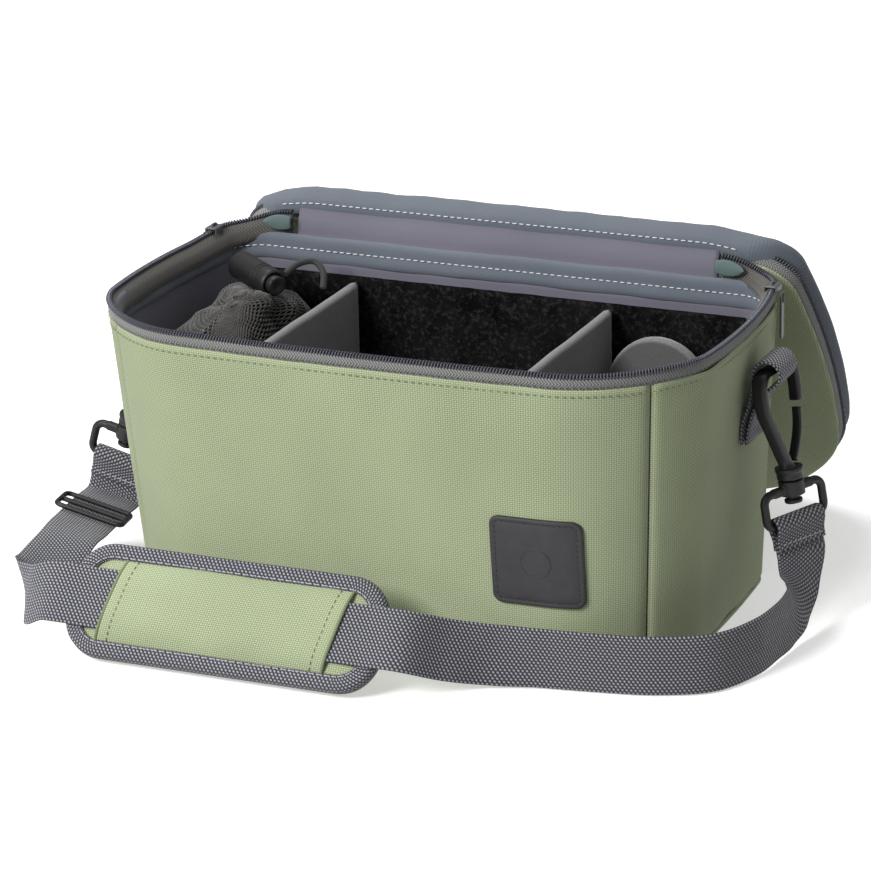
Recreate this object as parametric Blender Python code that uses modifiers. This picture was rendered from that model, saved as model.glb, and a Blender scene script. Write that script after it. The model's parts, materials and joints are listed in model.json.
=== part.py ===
"""Zip-top organizer bag with a shoulder strap, as an assembly of its separate pieces.

Metres, +Z up, origin at the centre of the base's underside, +X to the bag's right, +Y to its rear.
The lid is modelled shut on the rim, then its pieces are hung from an empty on the hinge line, turned open.
"""

import math

import bmesh
import bpy
from mathutils import Matrix, Vector

# Bag body
RIM_WIDTH, RIM_DEPTH = 0.300, 0.182
BASE_WIDTH, BASE_DEPTH = 0.286, 0.172
RIM_SHIFT_Y = -0.010
RIM_Z = 0.159
SEAM_Z = 0.152
FRONT_RADIUS, REAR_RADIUS = 0.054, 0.020
FRONT_SEAM_TURN_DEG = 52.0
RIM_FRONT_BOW, BASE_FRONT_BOW = 0.006, 0.004
RIM_END_BOW, BASE_END_BOW = 0.010, 0.004
PANEL_THICKNESS = 0.0030
BASE_THICKNESS = 0.0028
GAP = 0.0004
INNER_INSET = PANEL_THICKNESS + GAP
FLOOR_Z = 0.0073
FACING_LOW_Z = 0.136
LOOP_LOW_Z, LOOP_TOP_Z = 0.016, 0.122
TAPE_HEIGHT = 0.0040
TEETH_HEIGHT = 0.0022

# Lid and its hinge line
HINGE = Vector((0.0, RIM_SHIFT_Y + RIM_DEPTH / 2 + 0.003, RIM_Z + 0.0085))
OPEN_DEG = 238.0
LID_TOP_Z = RIM_Z + 0.0115
LID_END_GAP = 0.030

# Loop tabs, hooks and strap
WEB_WIDTH = 0.030
WEB_THICKNESS = 0.0016
TAB_LOW_Z = 0.098
HOOK_PIN_RADIUS = 0.0030
FRAME_BAR_RADIUS = 0.0022
PAD_LENGTH, PAD_WIDTH, PAD_THICKNESS = 0.168, 0.058, 0.006
PAD_TRAVEL = 0.010

COLOURS = {
    "sage_canvas": ((0.33, 0.40, 0.25), 0.85, 0.0),
    "blue_grey_facing": ((0.16, 0.19, 0.22), 0.80, 0.0),
    "mauve_lining": ((0.24, 0.22, 0.27), 0.75, 0.0),
    "loop_felt": ((0.012, 0.012, 0.013), 0.95, 0.0),
    "grey_felt": ((0.15, 0.15, 0.15), 0.90, 0.0),
    "zip_tape": ((0.10, 0.095, 0.085), 0.85, 0.0),
    "zip_coil": ((0.015, 0.016, 0.020), 0.35, 0.0),
    "webbing": ((0.13, 0.13, 0.14), 0.75, 0.0),
    "black_plastic": ((0.016, 0.016, 0.017), 0.42, 0.0),
    "dark_metal": ((0.10, 0.10, 0.11), 0.35, 1.0),
    "grey_leather": ((0.055, 0.055, 0.060), 0.55, 0.0),
    "black_net": ((0.020, 0.019, 0.016), 0.80, 0.0),
    "black_cord": ((0.012, 0.012, 0.012), 0.80, 0.0),
    "board": ((0.05, 0.05, 0.05), 0.70, 0.0),
    "foam": ((0.30, 0.30, 0.30), 0.95, 0.0),
    "teal_tab": ((0.13, 0.20, 0.19), 0.75, 0.0),
}


# ---------------------------------------------------------------- scene and materials


def clear_scene():
    for old in list(bpy.data.objects):
        bpy.data.objects.remove(old, do_unlink=True)


def new_collection(name):
    collection = bpy.data.collections.new(name)
    bpy.context.scene.collection.children.link(collection)
    return collection


def material(name):
    found = bpy.data.materials.get(name)
    if found:
        return found
    colour, roughness, metallic = COLOURS[name]
    made = bpy.data.materials.new(name)
    made.use_nodes = True
    shader = made.node_tree.nodes["Principled BSDF"]
    shader.inputs["Base Color"].default_value = (*colour, 1.0)
    shader.inputs["Roughness"].default_value = roughness
    shader.inputs["Metallic"].default_value = metallic
    return made


clear_scene()
PARTS = new_collection("organizer_bag")


def place(obj, name, slot, collection=None):
    """Names the object, gives it its material and puts it in the parts' collection."""
    obj.name = name
    obj.data.name = name
    obj.data.materials.clear()
    obj.data.materials.append(material(slot))
    for old in list(obj.users_collection):
        old.objects.unlink(obj)
    (collection or PARTS).objects.link(obj)
    return obj


def object_from_bmesh(mesh, name, slot):
    data = bpy.data.meshes.new(name)
    mesh.to_mesh(data)
    mesh.free()
    return place(bpy.data.objects.new(name, data), name, slot)


def apply_modifiers(obj):
    """Makes the object's evaluated mesh its own mesh."""
    graph = bpy.context.evaluated_depsgraph_get()
    evaluated = bpy.data.meshes.new_from_object(obj.evaluated_get(graph))
    obj.modifiers.clear()
    obj.data = evaluated
    return obj


# ---------------------------------------------------------------- shapes


def surface_of_rows(name, slot, rows, thickness, closed=False, offset=-1.0):
    """A cloth-like piece: rows of points make an open surface, which Solidify thickens inwards."""
    mesh = bmesh.new()
    grid = [[mesh.verts.new(point) for point in row] for row in rows]
    count = len(rows[0])
    for low, high in zip(grid, grid[1:]):
        for j in range(count if closed else count - 1):
            k = (j + 1) % count
            mesh.faces.new((low[j], low[k], high[k], high[j]))
    obj = object_from_bmesh(mesh, name, slot)
    solid = obj.modifiers.new("thickness", "SOLIDIFY")
    solid.thickness = thickness
    solid.offset = offset
    solid.use_even_offset = True
    return obj


def slab(name, slot, loop, top_z, thickness):
    """A flat sheet: one face with this outline, anticlockwise from above, thickened downwards."""
    mesh = bmesh.new()
    mesh.faces.new([mesh.verts.new((x, y, top_z)) for x, y in loop])
    obj = object_from_bmesh(mesh, name, slot)
    solid = obj.modifiers.new("thickness", "SOLIDIFY")
    solid.thickness = thickness
    solid.offset = -1.0
    return obj


def extruded(name, slot, loop, across, bevel=0.0):
    """A flat plate: this outline of points as its middle section, made as thick as the across vector."""
    across = Vector(across)
    mesh = bmesh.new()
    face = mesh.faces.new([mesh.verts.new(Vector(point) + across / 2) for point in loop])
    made = bmesh.ops.extrude_face_region(mesh, geom=[face])
    moved = [v for v in made["geom"] if isinstance(v, bmesh.types.BMVert)]
    bmesh.ops.translate(mesh, vec=-across, verts=moved)
    bmesh.ops.recalc_face_normals(mesh, faces=mesh.faces)
    obj = object_from_bmesh(mesh, name, slot)
    if bevel:
        rounding = obj.modifiers.new("rounding", "BEVEL")
        rounding.width = bevel
        rounding.segments = 3
    return obj


def box(name, slot, low, high, bevel=0.0, segments=2):
    low, high = Vector(low), Vector(high)
    mesh = bmesh.new()
    bmesh.ops.create_cube(mesh, size=1.0)
    bmesh.ops.scale(mesh, vec=high - low, verts=mesh.verts)
    obj = object_from_bmesh(mesh, name, slot)
    obj.location = (low + high) / 2
    if bevel:
        rounding = obj.modifiers.new("rounding", "BEVEL")
        rounding.width = bevel
        rounding.segments = segments
    return obj


def rod(name, slot, start, end, radius, sides=20):
    start, end = Vector(start), Vector(end)
    mesh = bmesh.new()
    bmesh.ops.create_cone(
        mesh, cap_ends=True, segments=sides, radius1=radius, radius2=radius, depth=(end - start).length,
    )
    obj = object_from_bmesh(mesh, name, slot)
    obj.location = (start + end) / 2
    obj.rotation_mode = "QUATERNION"
    obj.rotation_quaternion = (end - start).to_track_quat("Z", "Y")
    return obj


def tube_curve(name, slot, points, radius, resolution=2, cyclic=False):
    curve = bpy.data.curves.new(name, "CURVE")
    curve.dimensions = "3D"
    curve.bevel_depth = radius
    curve.bevel_resolution = resolution
    curve.use_fill_caps = not cyclic
    spline = curve.splines.new("POLY")
    spline.points.add(len(points) - 1)
    for slot_point, point in zip(spline.points, points):
        slot_point.co = (*point, 1.0)
    spline.use_cyclic_u = cyclic
    return place(bpy.data.objects.new(name, curve), name, slot)


def mesh_of(obj):
    """Turns a curve object into a welded mesh object, so that it can be joined to others."""
    bpy.context.view_layer.update()
    graph = bpy.context.evaluated_depsgraph_get()
    data = bpy.data.meshes.new_from_object(obj.evaluated_get(graph))
    mesh = bmesh.new()
    mesh.from_mesh(data)
    bmesh.ops.remove_doubles(mesh, verts=mesh.verts, dist=1e-6)
    mesh.to_mesh(data)
    mesh.free()
    made = bpy.data.objects.new(obj.name + "_mesh", data)
    made.matrix_world = obj.matrix_world
    PARTS.objects.link(made)
    bpy.data.objects.remove(obj, do_unlink=True)
    return made


def union(name, slot, pieces):
    """Joins overlapping solids into one closed body."""
    pieces = [mesh_of(p) if p.type == "CURVE" else p for p in pieces]
    bpy.context.view_layer.update()
    first = pieces[0]
    for other in pieces[1:]:
        join = first.modifiers.new("join", "BOOLEAN")
        join.operation = "UNION"
        join.solver = "EXACT"
        join.object = other
    apply_modifiers(first)
    for other in pieces[1:]:
        bpy.data.objects.remove(other, do_unlink=True)
    return place(first, name, slot)


def cut(obj, cutter):
    """Takes the cutter's shape out of the object."""
    bpy.context.view_layer.update()
    carve = obj.modifiers.new("cut", "BOOLEAN")
    carve.operation = "DIFFERENCE"
    carve.solver = "EXACT"
    carve.object = cutter
    apply_modifiers(obj)
    bpy.data.objects.remove(cutter, do_unlink=True)
    return obj


def ribbon(name, slot, stations, width, thickness):
    """A flat strap through stations of (centre, width direction), closed at both ends."""
    mesh = bmesh.new()
    rings = []
    for i, (centre, across) in enumerate(stations):
        centre, across = Vector(centre), Vector(across).normalized()
        before = Vector(stations[max(i - 1, 0)][0])
        after = Vector(stations[min(i + 1, len(stations) - 1)][0])
        along = (after - before).normalized()
        across = (across - along * across.dot(along)).normalized()
        normal = along.cross(across)
        corners = ((1, 1), (-1, 1), (-1, -1), (1, -1))
        rings.append([
            mesh.verts.new(centre + across * (width / 2 * a) + normal * (thickness / 2 * b))
            for a, b in corners
        ])
    for one, two in zip(rings, rings[1:]):
        for j in range(4):
            k = (j + 1) % 4
            mesh.faces.new((one[j], one[k], two[k], two[j]))
    mesh.faces.new(rings[0][::-1])
    mesh.faces.new(rings[-1])
    bmesh.ops.recalc_face_normals(mesh, faces=mesh.faces)
    return object_from_bmesh(mesh, name, slot)


def between(a, b, knot_a, knot_b, t):
    """The value at t on the line that has a at knot_a and b at knot_b."""
    return a + (b - a) * ((t - knot_a) / (knot_b - knot_a))


def smooth_stations(route, steps):
    """Stations on a smooth curve (a centripetal Catmull-Rom) through the route's (point, width direction) pairs."""
    points = [Vector(p) for p, _ in route]
    widths = [Vector(w).normalized() for _, w in route]
    points = [2 * points[0] - points[1]] + points + [2 * points[-1] - points[-2]]
    found = []
    for i in range(len(route) - 1):
        near = points[i:i + 4]
        knots = [0.0]
        for one, two in zip(near, near[1:]):
            knots.append(knots[-1] + math.sqrt((two - one).length))
        for step in range(steps):
            t = mix(knots[1], knots[2], step / steps)
            lower = [between(near[k], near[k + 1], knots[k], knots[k + 1], t) for k in range(3)]
            upper = [between(lower[k], lower[k + 1], knots[k], knots[k + 2], t) for k in range(2)]
            spot = between(upper[0], upper[1], knots[1], knots[2], t)
            found.append((spot, widths[i].lerp(widths[i + 1], step / steps)))
    found.append((points[-2], widths[-1]))
    return found


# ---------------------------------------------------------------- the bag's plan outline


def mix(a, b, t):
    return a + (b - a) * t


def side_points(side, z, inset):
    """One side of the bag's outline at height z, from seam to seam, anticlockwise from above.

    The sides are front, right, rear and left. The outline is a rounded rectangle whose front and
    ends bow outwards, and it widens from the base to the rim.
    """
    rise = min(max(z / SEAM_Z, 0.0), 1.05)
    half_w = mix(BASE_WIDTH, RIM_WIDTH, rise) / 2 - inset
    half_d = mix(BASE_DEPTH, RIM_DEPTH, rise) / 2 - inset
    radii = [max(r - inset, 0.004) for r in (FRONT_RADIUS, FRONT_RADIUS, REAR_RADIUS, REAR_RADIUS)]
    signs = ((-1, -1), (1, -1), (1, 1), (-1, 1))
    first = {"front": 0, "right": 1, "rear": 2, "left": 3}[side]
    second = (first + 1) % 4

    def arc(corner, start_deg, end_deg):
        radius, (sx, sy) = radii[corner], signs[corner]
        cx, cy = sx * (half_w - radius), sy * (half_d - radius)
        for step in range(5):
            a = math.radians(mix(start_deg, end_deg, step / 4))
            yield cx + radius * math.cos(a), cy + radius * math.sin(a)

    seam_deg = (270 - FRONT_SEAM_TURN_DEG, 270 + FRONT_SEAM_TURN_DEG, 405, 495)
    middle_deg = 225 + 90 * first
    end_deg = seam_deg[second] if second else seam_deg[0] + 360
    points = list(arc(first, seam_deg[first], middle_deg + 45))
    following = list(arc(second, middle_deg + 45, end_deg))
    (ax, ay), (bx, by) = points[-1], following[0]
    points += [(mix(ax, bx, t / 8), mix(ay, by, t / 8)) for t in range(1, 8)]
    points += following
    front_bow = mix(BASE_FRONT_BOW, RIM_FRONT_BOW, rise)
    end_bow = mix(BASE_END_BOW, RIM_END_BOW, rise)
    shift = RIM_SHIFT_Y * rise
    bowed = []
    for x, y in points:
        frontness = min(max(-y / half_d, 0.0), 1.0)
        endness = min(abs(x) / half_w, 1.0) ** 6
        out_y = front_bow * max(1 - (x / half_w) ** 2, 0.0) * frontness
        out_x = end_bow * max(1 - (y / half_d) ** 2, 0.0) * endness
        bowed.append((x + math.copysign(out_x, x), y - out_y + shift))
    return bowed


def outline(z, inset):
    """The whole outline at height z as one closed loop."""
    loop = []
    for side in ("front", "right", "rear", "left"):
        loop += side_points(side, z, inset)[:-1]
    return loop


def trimmed(points, gap=0.0010):
    """The same run of points, a little shorter at both ends."""
    ends = []
    for end, inner in ((points[0], points[1]), (points[-1], points[-2])):
        end, inner = Vector(end), Vector(inner)
        ends.append(end + (inner - end).normalized() * gap)
    return [tuple(ends[0])] + list(points[1:-1]) + [tuple(ends[1])]


def levels(low, high, count):
    return [mix(low, high, i / (count - 1)) for i in range(count)]


def at_height(points, z):
    return [(x, y, z) for x, y in points]


def clipped(points, rear_limit):
    """The run of outline points whose Y is below the limit."""
    return [p for p in points if p[1] < rear_limit]


def zip_run(z, inset, rear_limit):
    """The zip's course: up one end, along the front and back down the other end."""
    run = side_points("left", z, inset)[:-1] + side_points("front", z, inset)[:-1]
    run += side_points("right", z, inset)
    return clipped(run, rear_limit)


# ---------------------------------------------------------------- bag body


def build_panels():
    for side, name in (
        ("front", "front_panel"), ("right", "right_end_panel"),
        ("rear", "rear_panel"), ("left", "left_end_panel"),
    ):
        rows = [
            at_height(trimmed(side_points(side, z, 0.0)), z)
            for z in levels(BASE_THICKNESS + GAP, SEAM_Z, 5)
        ]
        surface_of_rows(name, "sage_canvas", rows, PANEL_THICKNESS)


def build_base():
    slab("base_panel", "sage_canvas", outline(0.0, 0.0), BASE_THICKNESS, BASE_THICKNESS)
    board_top = BASE_THICKNESS + GAP + 0.0022
    slab("base_board", "board", outline(0.0, INNER_INSET + 0.0006), board_top, 0.0022)
    slab("floor_lining", "mauve_lining", outline(0.0, INNER_INSET + 0.0006), board_top + GAP + 0.0010, 0.0010)


def build_lining():
    rows = [at_height(outline(z, INNER_INSET), z) for z in levels(FLOOR_Z, FACING_LOW_Z - GAP, 4)]
    surface_of_rows("wall_lining", "mauve_lining", rows, 0.0010, closed=True)
    rows = [at_height(outline(z, INNER_INSET), z) for z in levels(FACING_LOW_Z, RIM_Z - 0.0030, 3)]
    surface_of_rows("rim_facing", "blue_grey_facing", rows, 0.0022, closed=True)
    for side in ("front", "rear"):
        rows = [
            at_height(side_points(side, z, INNER_INSET + 0.0014)[4:-4], z)
            for z in levels(LOOP_LOW_Z, LOOP_TOP_Z, 3)
        ]
        surface_of_rows(side + "_loop_panel", "loop_felt", rows, 0.0014)


def build_body_zip():
    rear_limit = RIM_SHIFT_Y + RIM_DEPTH / 2 - LID_END_GAP + 0.012
    low = SEAM_Z + GAP
    rows = [at_height(zip_run(z, 0.0009, rear_limit), z) for z in (low, low + TAPE_HEIGHT)]
    surface_of_rows("body_zip_tape", "zip_tape", rows, 0.0012)
    low = RIM_Z - TEETH_HEIGHT
    rows = [at_height(zip_run(z, 0.0001, rear_limit), z) for z in (low, RIM_Z)]
    surface_of_rows("body_zip_teeth", "zip_coil", rows, 0.0026)


def build_hinge_strip():
    half = RIM_WIDTH / 2 - 0.034
    rear_y = RIM_SHIFT_Y + RIM_DEPTH / 2
    profile = (
        (rear_y - 0.0004, SEAM_Z + GAP), (rear_y - 0.0002, RIM_Z),
        (rear_y + 0.0014, RIM_Z + 0.0045), (HINGE.y - 0.0003, HINGE.z),
    )
    rows = [[(x, y, z) for x in levels(-half, half, 7)][::-1] for y, z in profile]
    surface_of_rows("hinge_strip", "mauve_lining", rows, 0.0012)
    for sign, name in ((-1, "left"), (1, "right")):
        inner = sign * (half + 0.0010)
        outer = sign * (half + 0.0170)
        low_x, high_x = min(inner, outer), max(inner, outer)
        box(
            name + "_zip_end_tab", "teal_tab",
            (low_x, rear_y - 0.0035, RIM_Z + 0.0006), (high_x, rear_y - 0.0011, RIM_Z + 0.0078), 0.0007,
        )


def end_x(y, z, inset):
    """How far out the right-hand end's outline stands at this Y."""
    points = side_points("right", z, inset)
    for (ax, ay), (bx, by) in zip(points, points[1:]):
        if ay <= y <= by:
            return mix(ax, bx, (y - ay) / (by - ay))
    return points[-1][0]


def build_sliders():
    """A coil-zip slider at each end of the zip, with a pull on a hinge across its outer face."""
    z_low = RIM_Z - TEETH_HEIGHT
    half = 0.0038
    for sign, name in ((-1, "left"), (1, "right")):
        y = RIM_SHIFT_Y + RIM_DEPTH / 2 - LID_END_GAP + 0.0060
        x = sign * end_x(y, RIM_Z, 0.0014)
        body = box(
            name + "_zip_slider", "dark_metal",
            (x - half, y - 0.0050, z_low - 0.0004), (x + half, y + 0.0050, RIM_Z + 0.0024), 0.0008,
        )
        slot = box(
            "slider_slot", "board",
            (x - 0.0029, y - 0.0080, z_low - 0.0020), (x + 0.0029, y + 0.0080, RIM_Z + 0.0008),
        )
        cut(apply_modifiers(body), slot)
        outer = x + sign * half
        box(
            name + "_zip_pull", "dark_metal",
            (min(outer + sign * 0.0004, outer + sign * 0.0018), y - 0.0028, RIM_Z - 0.0260),
            (max(outer + sign * 0.0004, outer + sign * 0.0018), y + 0.0028, RIM_Z + 0.0010), 0.0005,
        )


# ---------------------------------------------------------------- lid


def build_lid():
    """The lid's pieces, made shut on the rim, then hung from an empty turned open about the hinge."""
    z = RIM_Z
    limit = RIM_SHIFT_Y + RIM_DEPTH / 2 - LID_END_GAP
    pieces = []

    def flat(inset):
        rear = RIM_SHIFT_Y + RIM_DEPTH / 2 - 0.0020
        return [(x, min(y, rear)) for x, y in outline(z, inset)]

    pieces.append(slab("lid_panel", "sage_canvas", flat(0.0006), LID_TOP_Z, 0.0030))
    pieces.append(slab("lid_padding", "foam", flat(0.0056), LID_TOP_Z - 0.0034, 0.0046))
    pieces.append(slab("lid_lining", "mauve_lining", flat(0.0330), z + 0.0029, 0.0018))
    rows = [at_height(flat(inset), z + 0.0029) for inset in (0.0056, 0.0160, 0.0322)]
    pieces.append(surface_of_rows("lid_facing", "blue_grey_facing", rows, 0.0018, closed=True))
    rows = [at_height(zip_run(z, 0.0009, limit), h) for h in (z + 0.0034, LID_TOP_Z - 0.0034)]
    pieces.append(surface_of_rows("lid_zip_tape", "zip_tape", rows, 0.0012))
    rows = [at_height(zip_run(z, 0.0001, limit), h) for h in (z + 0.0006, z + 0.0028)]
    pieces.append(surface_of_rows("lid_zip_teeth", "zip_coil", rows, 0.0026))
    hinge = bpy.data.objects.new("lid_hinge_line", None)
    PARTS.objects.link(hinge)
    hinge.location = HINGE
    for piece in pieces:
        piece.parent = hinge
        piece.matrix_parent_inverse = Matrix.Translation(-HINGE)
    hinge.rotation_euler = (-math.radians(OPEN_DEG), 0.0, 0.0)


# ---------------------------------------------------------------- inside


LEFT_DIVIDER_X, RIGHT_DIVIDER_X = -0.0800, 0.0610
DIVIDER_LOW_Z, DIVIDER_TOP_Z = 0.0085, 0.1360
DIVIDER_THICKNESS = 0.0065
HOOK_STRIP = 0.0016
HOOK_TAPE_LOW_Z, HOOK_TAPE_TOP_Z, HOOK_TAPE_WIDTH = 0.020, 0.118, 0.012


def wall_y(side, x, z, inset):
    """Y of the front or rear wall's inner face at this x and height."""
    points = sorted(side_points(side, z, inset))
    for (ax, ay), (bx, by) in zip(points, points[1:]):
        if ax <= x <= bx:
            return mix(ay, by, (x - ax) / (bx - ax))
    return points[0][1]


def build_divider(name, x):
    """A padded board across the bag, with a strip of hook tape on each end."""
    inset = INNER_INSET + 0.0014 + 0.0014 + GAP
    rear = wall_y("rear", x, DIVIDER_TOP_Z, inset + 0.0006)
    rear_board = rear - HOOK_STRIP - GAP
    spans = []
    for z in (DIVIDER_LOW_Z, DIVIDER_TOP_Z):
        front = wall_y("front", x, z, inset + 0.0012)
        spans.append((z, front))
    (low_z, low_y), (top_z, top_y) = spans

    step = HOOK_STRIP + GAP
    board = (
        (low_y + step, low_z), (rear_board, low_z), (rear_board, top_z), (top_y + step, top_z),
    )
    extruded(name, "grey_felt", [(x, y, z) for y, z in board], (DIVIDER_THICKNESS, 0, 0), 0.0022)

    def front_at(z):
        return mix(low_y, top_y, (z - low_z) / (top_z - low_z))

    front_tape = (
        (front_at(HOOK_TAPE_LOW_Z), HOOK_TAPE_LOW_Z), (front_at(HOOK_TAPE_LOW_Z) + HOOK_STRIP, HOOK_TAPE_LOW_Z),
        (front_at(HOOK_TAPE_TOP_Z) + HOOK_STRIP, HOOK_TAPE_TOP_Z), (front_at(HOOK_TAPE_TOP_Z), HOOK_TAPE_TOP_Z),
    )
    rear_tape = (
        (rear_board + GAP, HOOK_TAPE_LOW_Z), (rear_board + step, HOOK_TAPE_LOW_Z),
        (rear_board + step, HOOK_TAPE_TOP_Z), (rear_board + GAP, HOOK_TAPE_TOP_Z),
    )
    for end, loop in (("front", front_tape), ("rear", rear_tape)):
        extruded(name + "_" + end + "_hook_tape", "black_net", [(x, y, z) for y, z in loop], (HOOK_TAPE_WIDTH, 0, 0))


HALF_DIVIDER_LOW_X, HALF_DIVIDER_HIGH_X = 0.0690, 0.1210
HALF_DIVIDER_Y, HALF_DIVIDER_TOP_Z = 0.0520, 0.1300


def build_half_divider():
    """A short padded flap with a round top, across the right-hand compartment."""
    low_x, high_x, y, top_z = HALF_DIVIDER_LOW_X, HALF_DIVIDER_HIGH_X, HALF_DIVIDER_Y, HALF_DIVIDER_TOP_Z
    radius = (high_x - low_x) / 2
    loop = [(low_x, y, DIVIDER_LOW_Z), (high_x, y, DIVIDER_LOW_Z)]
    for step in range(13):
        a = math.pi * step / 12
        loop.append(((low_x + high_x) / 2 + radius * math.cos(a), y, top_z - radius + radius * math.sin(a)))
    extruded("half_divider", "grey_felt", loop, (0, -DIVIDER_THICKNESS, 0))


NET_X = -0.1120
NET_WIDTH, NET_DEPTH, NET_HEIGHT = 0.046, 0.112, 0.122
NET_NECK = 0.72
BARREL_RADIUS, BARREL_BORE_RADIUS = 0.0075, 0.0056
BUTTON_HALF = 0.0040
BARREL_START = Vector((-0.1310, 0.0400, 0.1490))
BARREL_END = Vector((-0.1020, 0.0200, 0.1470))


def build_net_pouch():
    mesh = bmesh.new()
    bmesh.ops.create_cube(mesh, size=1.0)
    bmesh.ops.subdivide_edges(mesh, edges=mesh.edges, cuts=2, use_grid_fill=True)
    for vert in mesh.verts:
        squeeze = NET_NECK if vert.co.z > 0.4 else 1.0
        vert.co.x *= NET_WIDTH * squeeze
        vert.co.y *= NET_DEPTH * squeeze
        vert.co.z *= NET_HEIGHT
    obj = object_from_bmesh(mesh, "net_pouch", "black_net")
    obj.location = (NET_X, 0.0, DIVIDER_LOW_Z + NET_HEIGHT / 2)
    smooth = obj.modifiers.new("smooth", "SUBSURF")
    smooth.levels = smooth.render_levels = 2


def build_cord_lock():
    along = (BARREL_END - BARREL_START).normalized()
    barrel = rod("cord_lock_barrel", "black_plastic", BARREL_START, BARREL_END, BARREL_RADIUS, 24)
    across = along.cross(Vector((0, 0, 1))).normalized()
    middle = BARREL_START.lerp(BARREL_END, 0.75)
    bore = rod("bore", "board", BARREL_END - along * 0.0160, BARREL_END + along * 0.0020, BARREL_BORE_RADIUS, 20)
    bpy.context.view_layer.update()
    cut(barrel, bore)
    hole = rod("hole", "board", middle - across * 0.0120, middle + across * 0.0120, 0.0026, 16)
    bpy.context.view_layer.update()
    cut(barrel, hole)
    rod(
        "cord_lock_plunger", "black_plastic",
        BARREL_END - along * BUTTON_HALF, BARREL_END + along * BUTTON_HALF, 0.0050, 20,
    )


CORD_ROUTE = (
    (-0.1050, 0.0400, 0.1465), (-0.1010, 0.0480, 0.1500), (-0.0945, 0.0530, 0.1505),
    (-0.0885, 0.0510, 0.1460), (-0.0865, 0.0460, 0.1390),
)
CORD_RADIUS = 0.0017


def build_drawcord():
    """The drawcord's short visible run, a smooth curve from the cord lock down to the pouch's neck."""
    points = [point for point, _ in smooth_stations([(p, (0, 0, 1)) for p in CORD_ROUTE], 5)]
    tube_curve("drawcord", "black_cord", points, CORD_RADIUS, 2)


# ---------------------------------------------------------------- tabs and hooks

TAB_Y = 0.0120
TAB_WIDTH = 0.0250
TUNNEL_Z = 0.1345
TUNNEL_OUT = 0.0112
HOOK_LEAN_DEG = {1: 9.0, -1: 16.0}
# The left tab is sewn lower than the right one
TAB_DROP = {1: 0.0, -1: 0.0165}


def tab_wall_x(z):
    """How far out the end panel stands beside the tab at this height."""
    return max(abs(x) for x, _ in side_points("right", z, 0.0))


def tunnel_at(sign):
    """The middle of the tab's tunnel, which the hook's claw passes through."""
    drop = TAB_DROP[sign]
    return Vector((sign * (tab_wall_x(0.118 - drop) + 0.0014 + TUNNEL_OUT), TAB_Y, TUNNEL_Z - drop))


def build_tab(sign, name):
    """Webbing folded into an upward loop, its two layers sewn flat on the end panel."""
    drop, tunnel = TAB_DROP[sign], tunnel_at(sign)
    x0 = tab_wall_x(TAB_LOW_Z - drop) + 0.0018
    x1 = tab_wall_x(0.118 - drop) + 0.0014
    route = [(x0, TAB_LOW_Z), (x0 + 0.0003, 0.1080), (x1 + 0.0030, 0.1200), (x1 + 0.0044, 0.1280)]
    radius = 0.0068
    for step in range(8):
        a = math.radians(165 - step * 34)
        route.append((abs(tunnel.x) + radius * math.cos(a), TUNNEL_Z + radius * math.sin(a)))
    route += [(x1 + 0.0066, 0.1200), (x0 + 0.0040, 0.1080), (x0 + 0.0024, TAB_LOW_Z)]
    stations = [((sign * x, TAB_Y, z - drop), (0, 1, 0)) for x, z in route]
    ribbon(name + "_strap_tab", "webbing", stations, TAB_WIDTH, WEB_THICKNESS)


def hook_frame(sign, yaw_deg):
    """The matrix of a hook: origin in the tab's tunnel, local X across the hook, local Z up its stem."""
    lean = Matrix.Rotation(-sign * math.radians(HOOK_LEAN_DEG[sign]), 4, "Y")
    yaw = Matrix.Rotation(math.radians(yaw_deg), 4, "Z")
    return Matrix.Translation(tunnel_at(sign)) @ lean @ yaw


# Turn about the stem, of the hook and then of its webbing frame
RIGHT_HOOK_YAW_DEG, LEFT_HOOK_YAW_DEG = (78.0, 58.0), (100.0, 4.0)
HOOK_ARM_RADIUS = 0.0024
COLLAR_TOP, COLLAR_LOW = -0.0500, -0.0560
HUB_TOP, HUB_LOW = -0.0564, -0.0640
STEM_LOW = -0.0664
BAR_LOW = -0.0775
GATE_ROOT = Vector((0.0042, 0.0, -0.0480))

HOOK_OUTLINE = (
    (0.0000, -0.0520), (-0.0040, -0.0440), (-0.0100, -0.0300), (-0.0150, -0.0180), (-0.0157, -0.0080),
    (-0.0145, -0.0022), (-0.0105, 0.0000), (0.0000, 0.0002), (0.0105, 0.0000), (0.0145, -0.0022),
    (0.0157, -0.0080), (0.0157, -0.0160), (0.0150, -0.0205),
)
GATE_OUTLINE = ((0.0042, -0.0480), (0.0085, -0.0420), (0.0122, -0.0350), (0.0140, -0.0290), (0.0146, -0.0240))


def stand(objects, matrix):
    for obj in objects:
        obj.matrix_world = matrix @ obj.matrix_basis
    return objects


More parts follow.
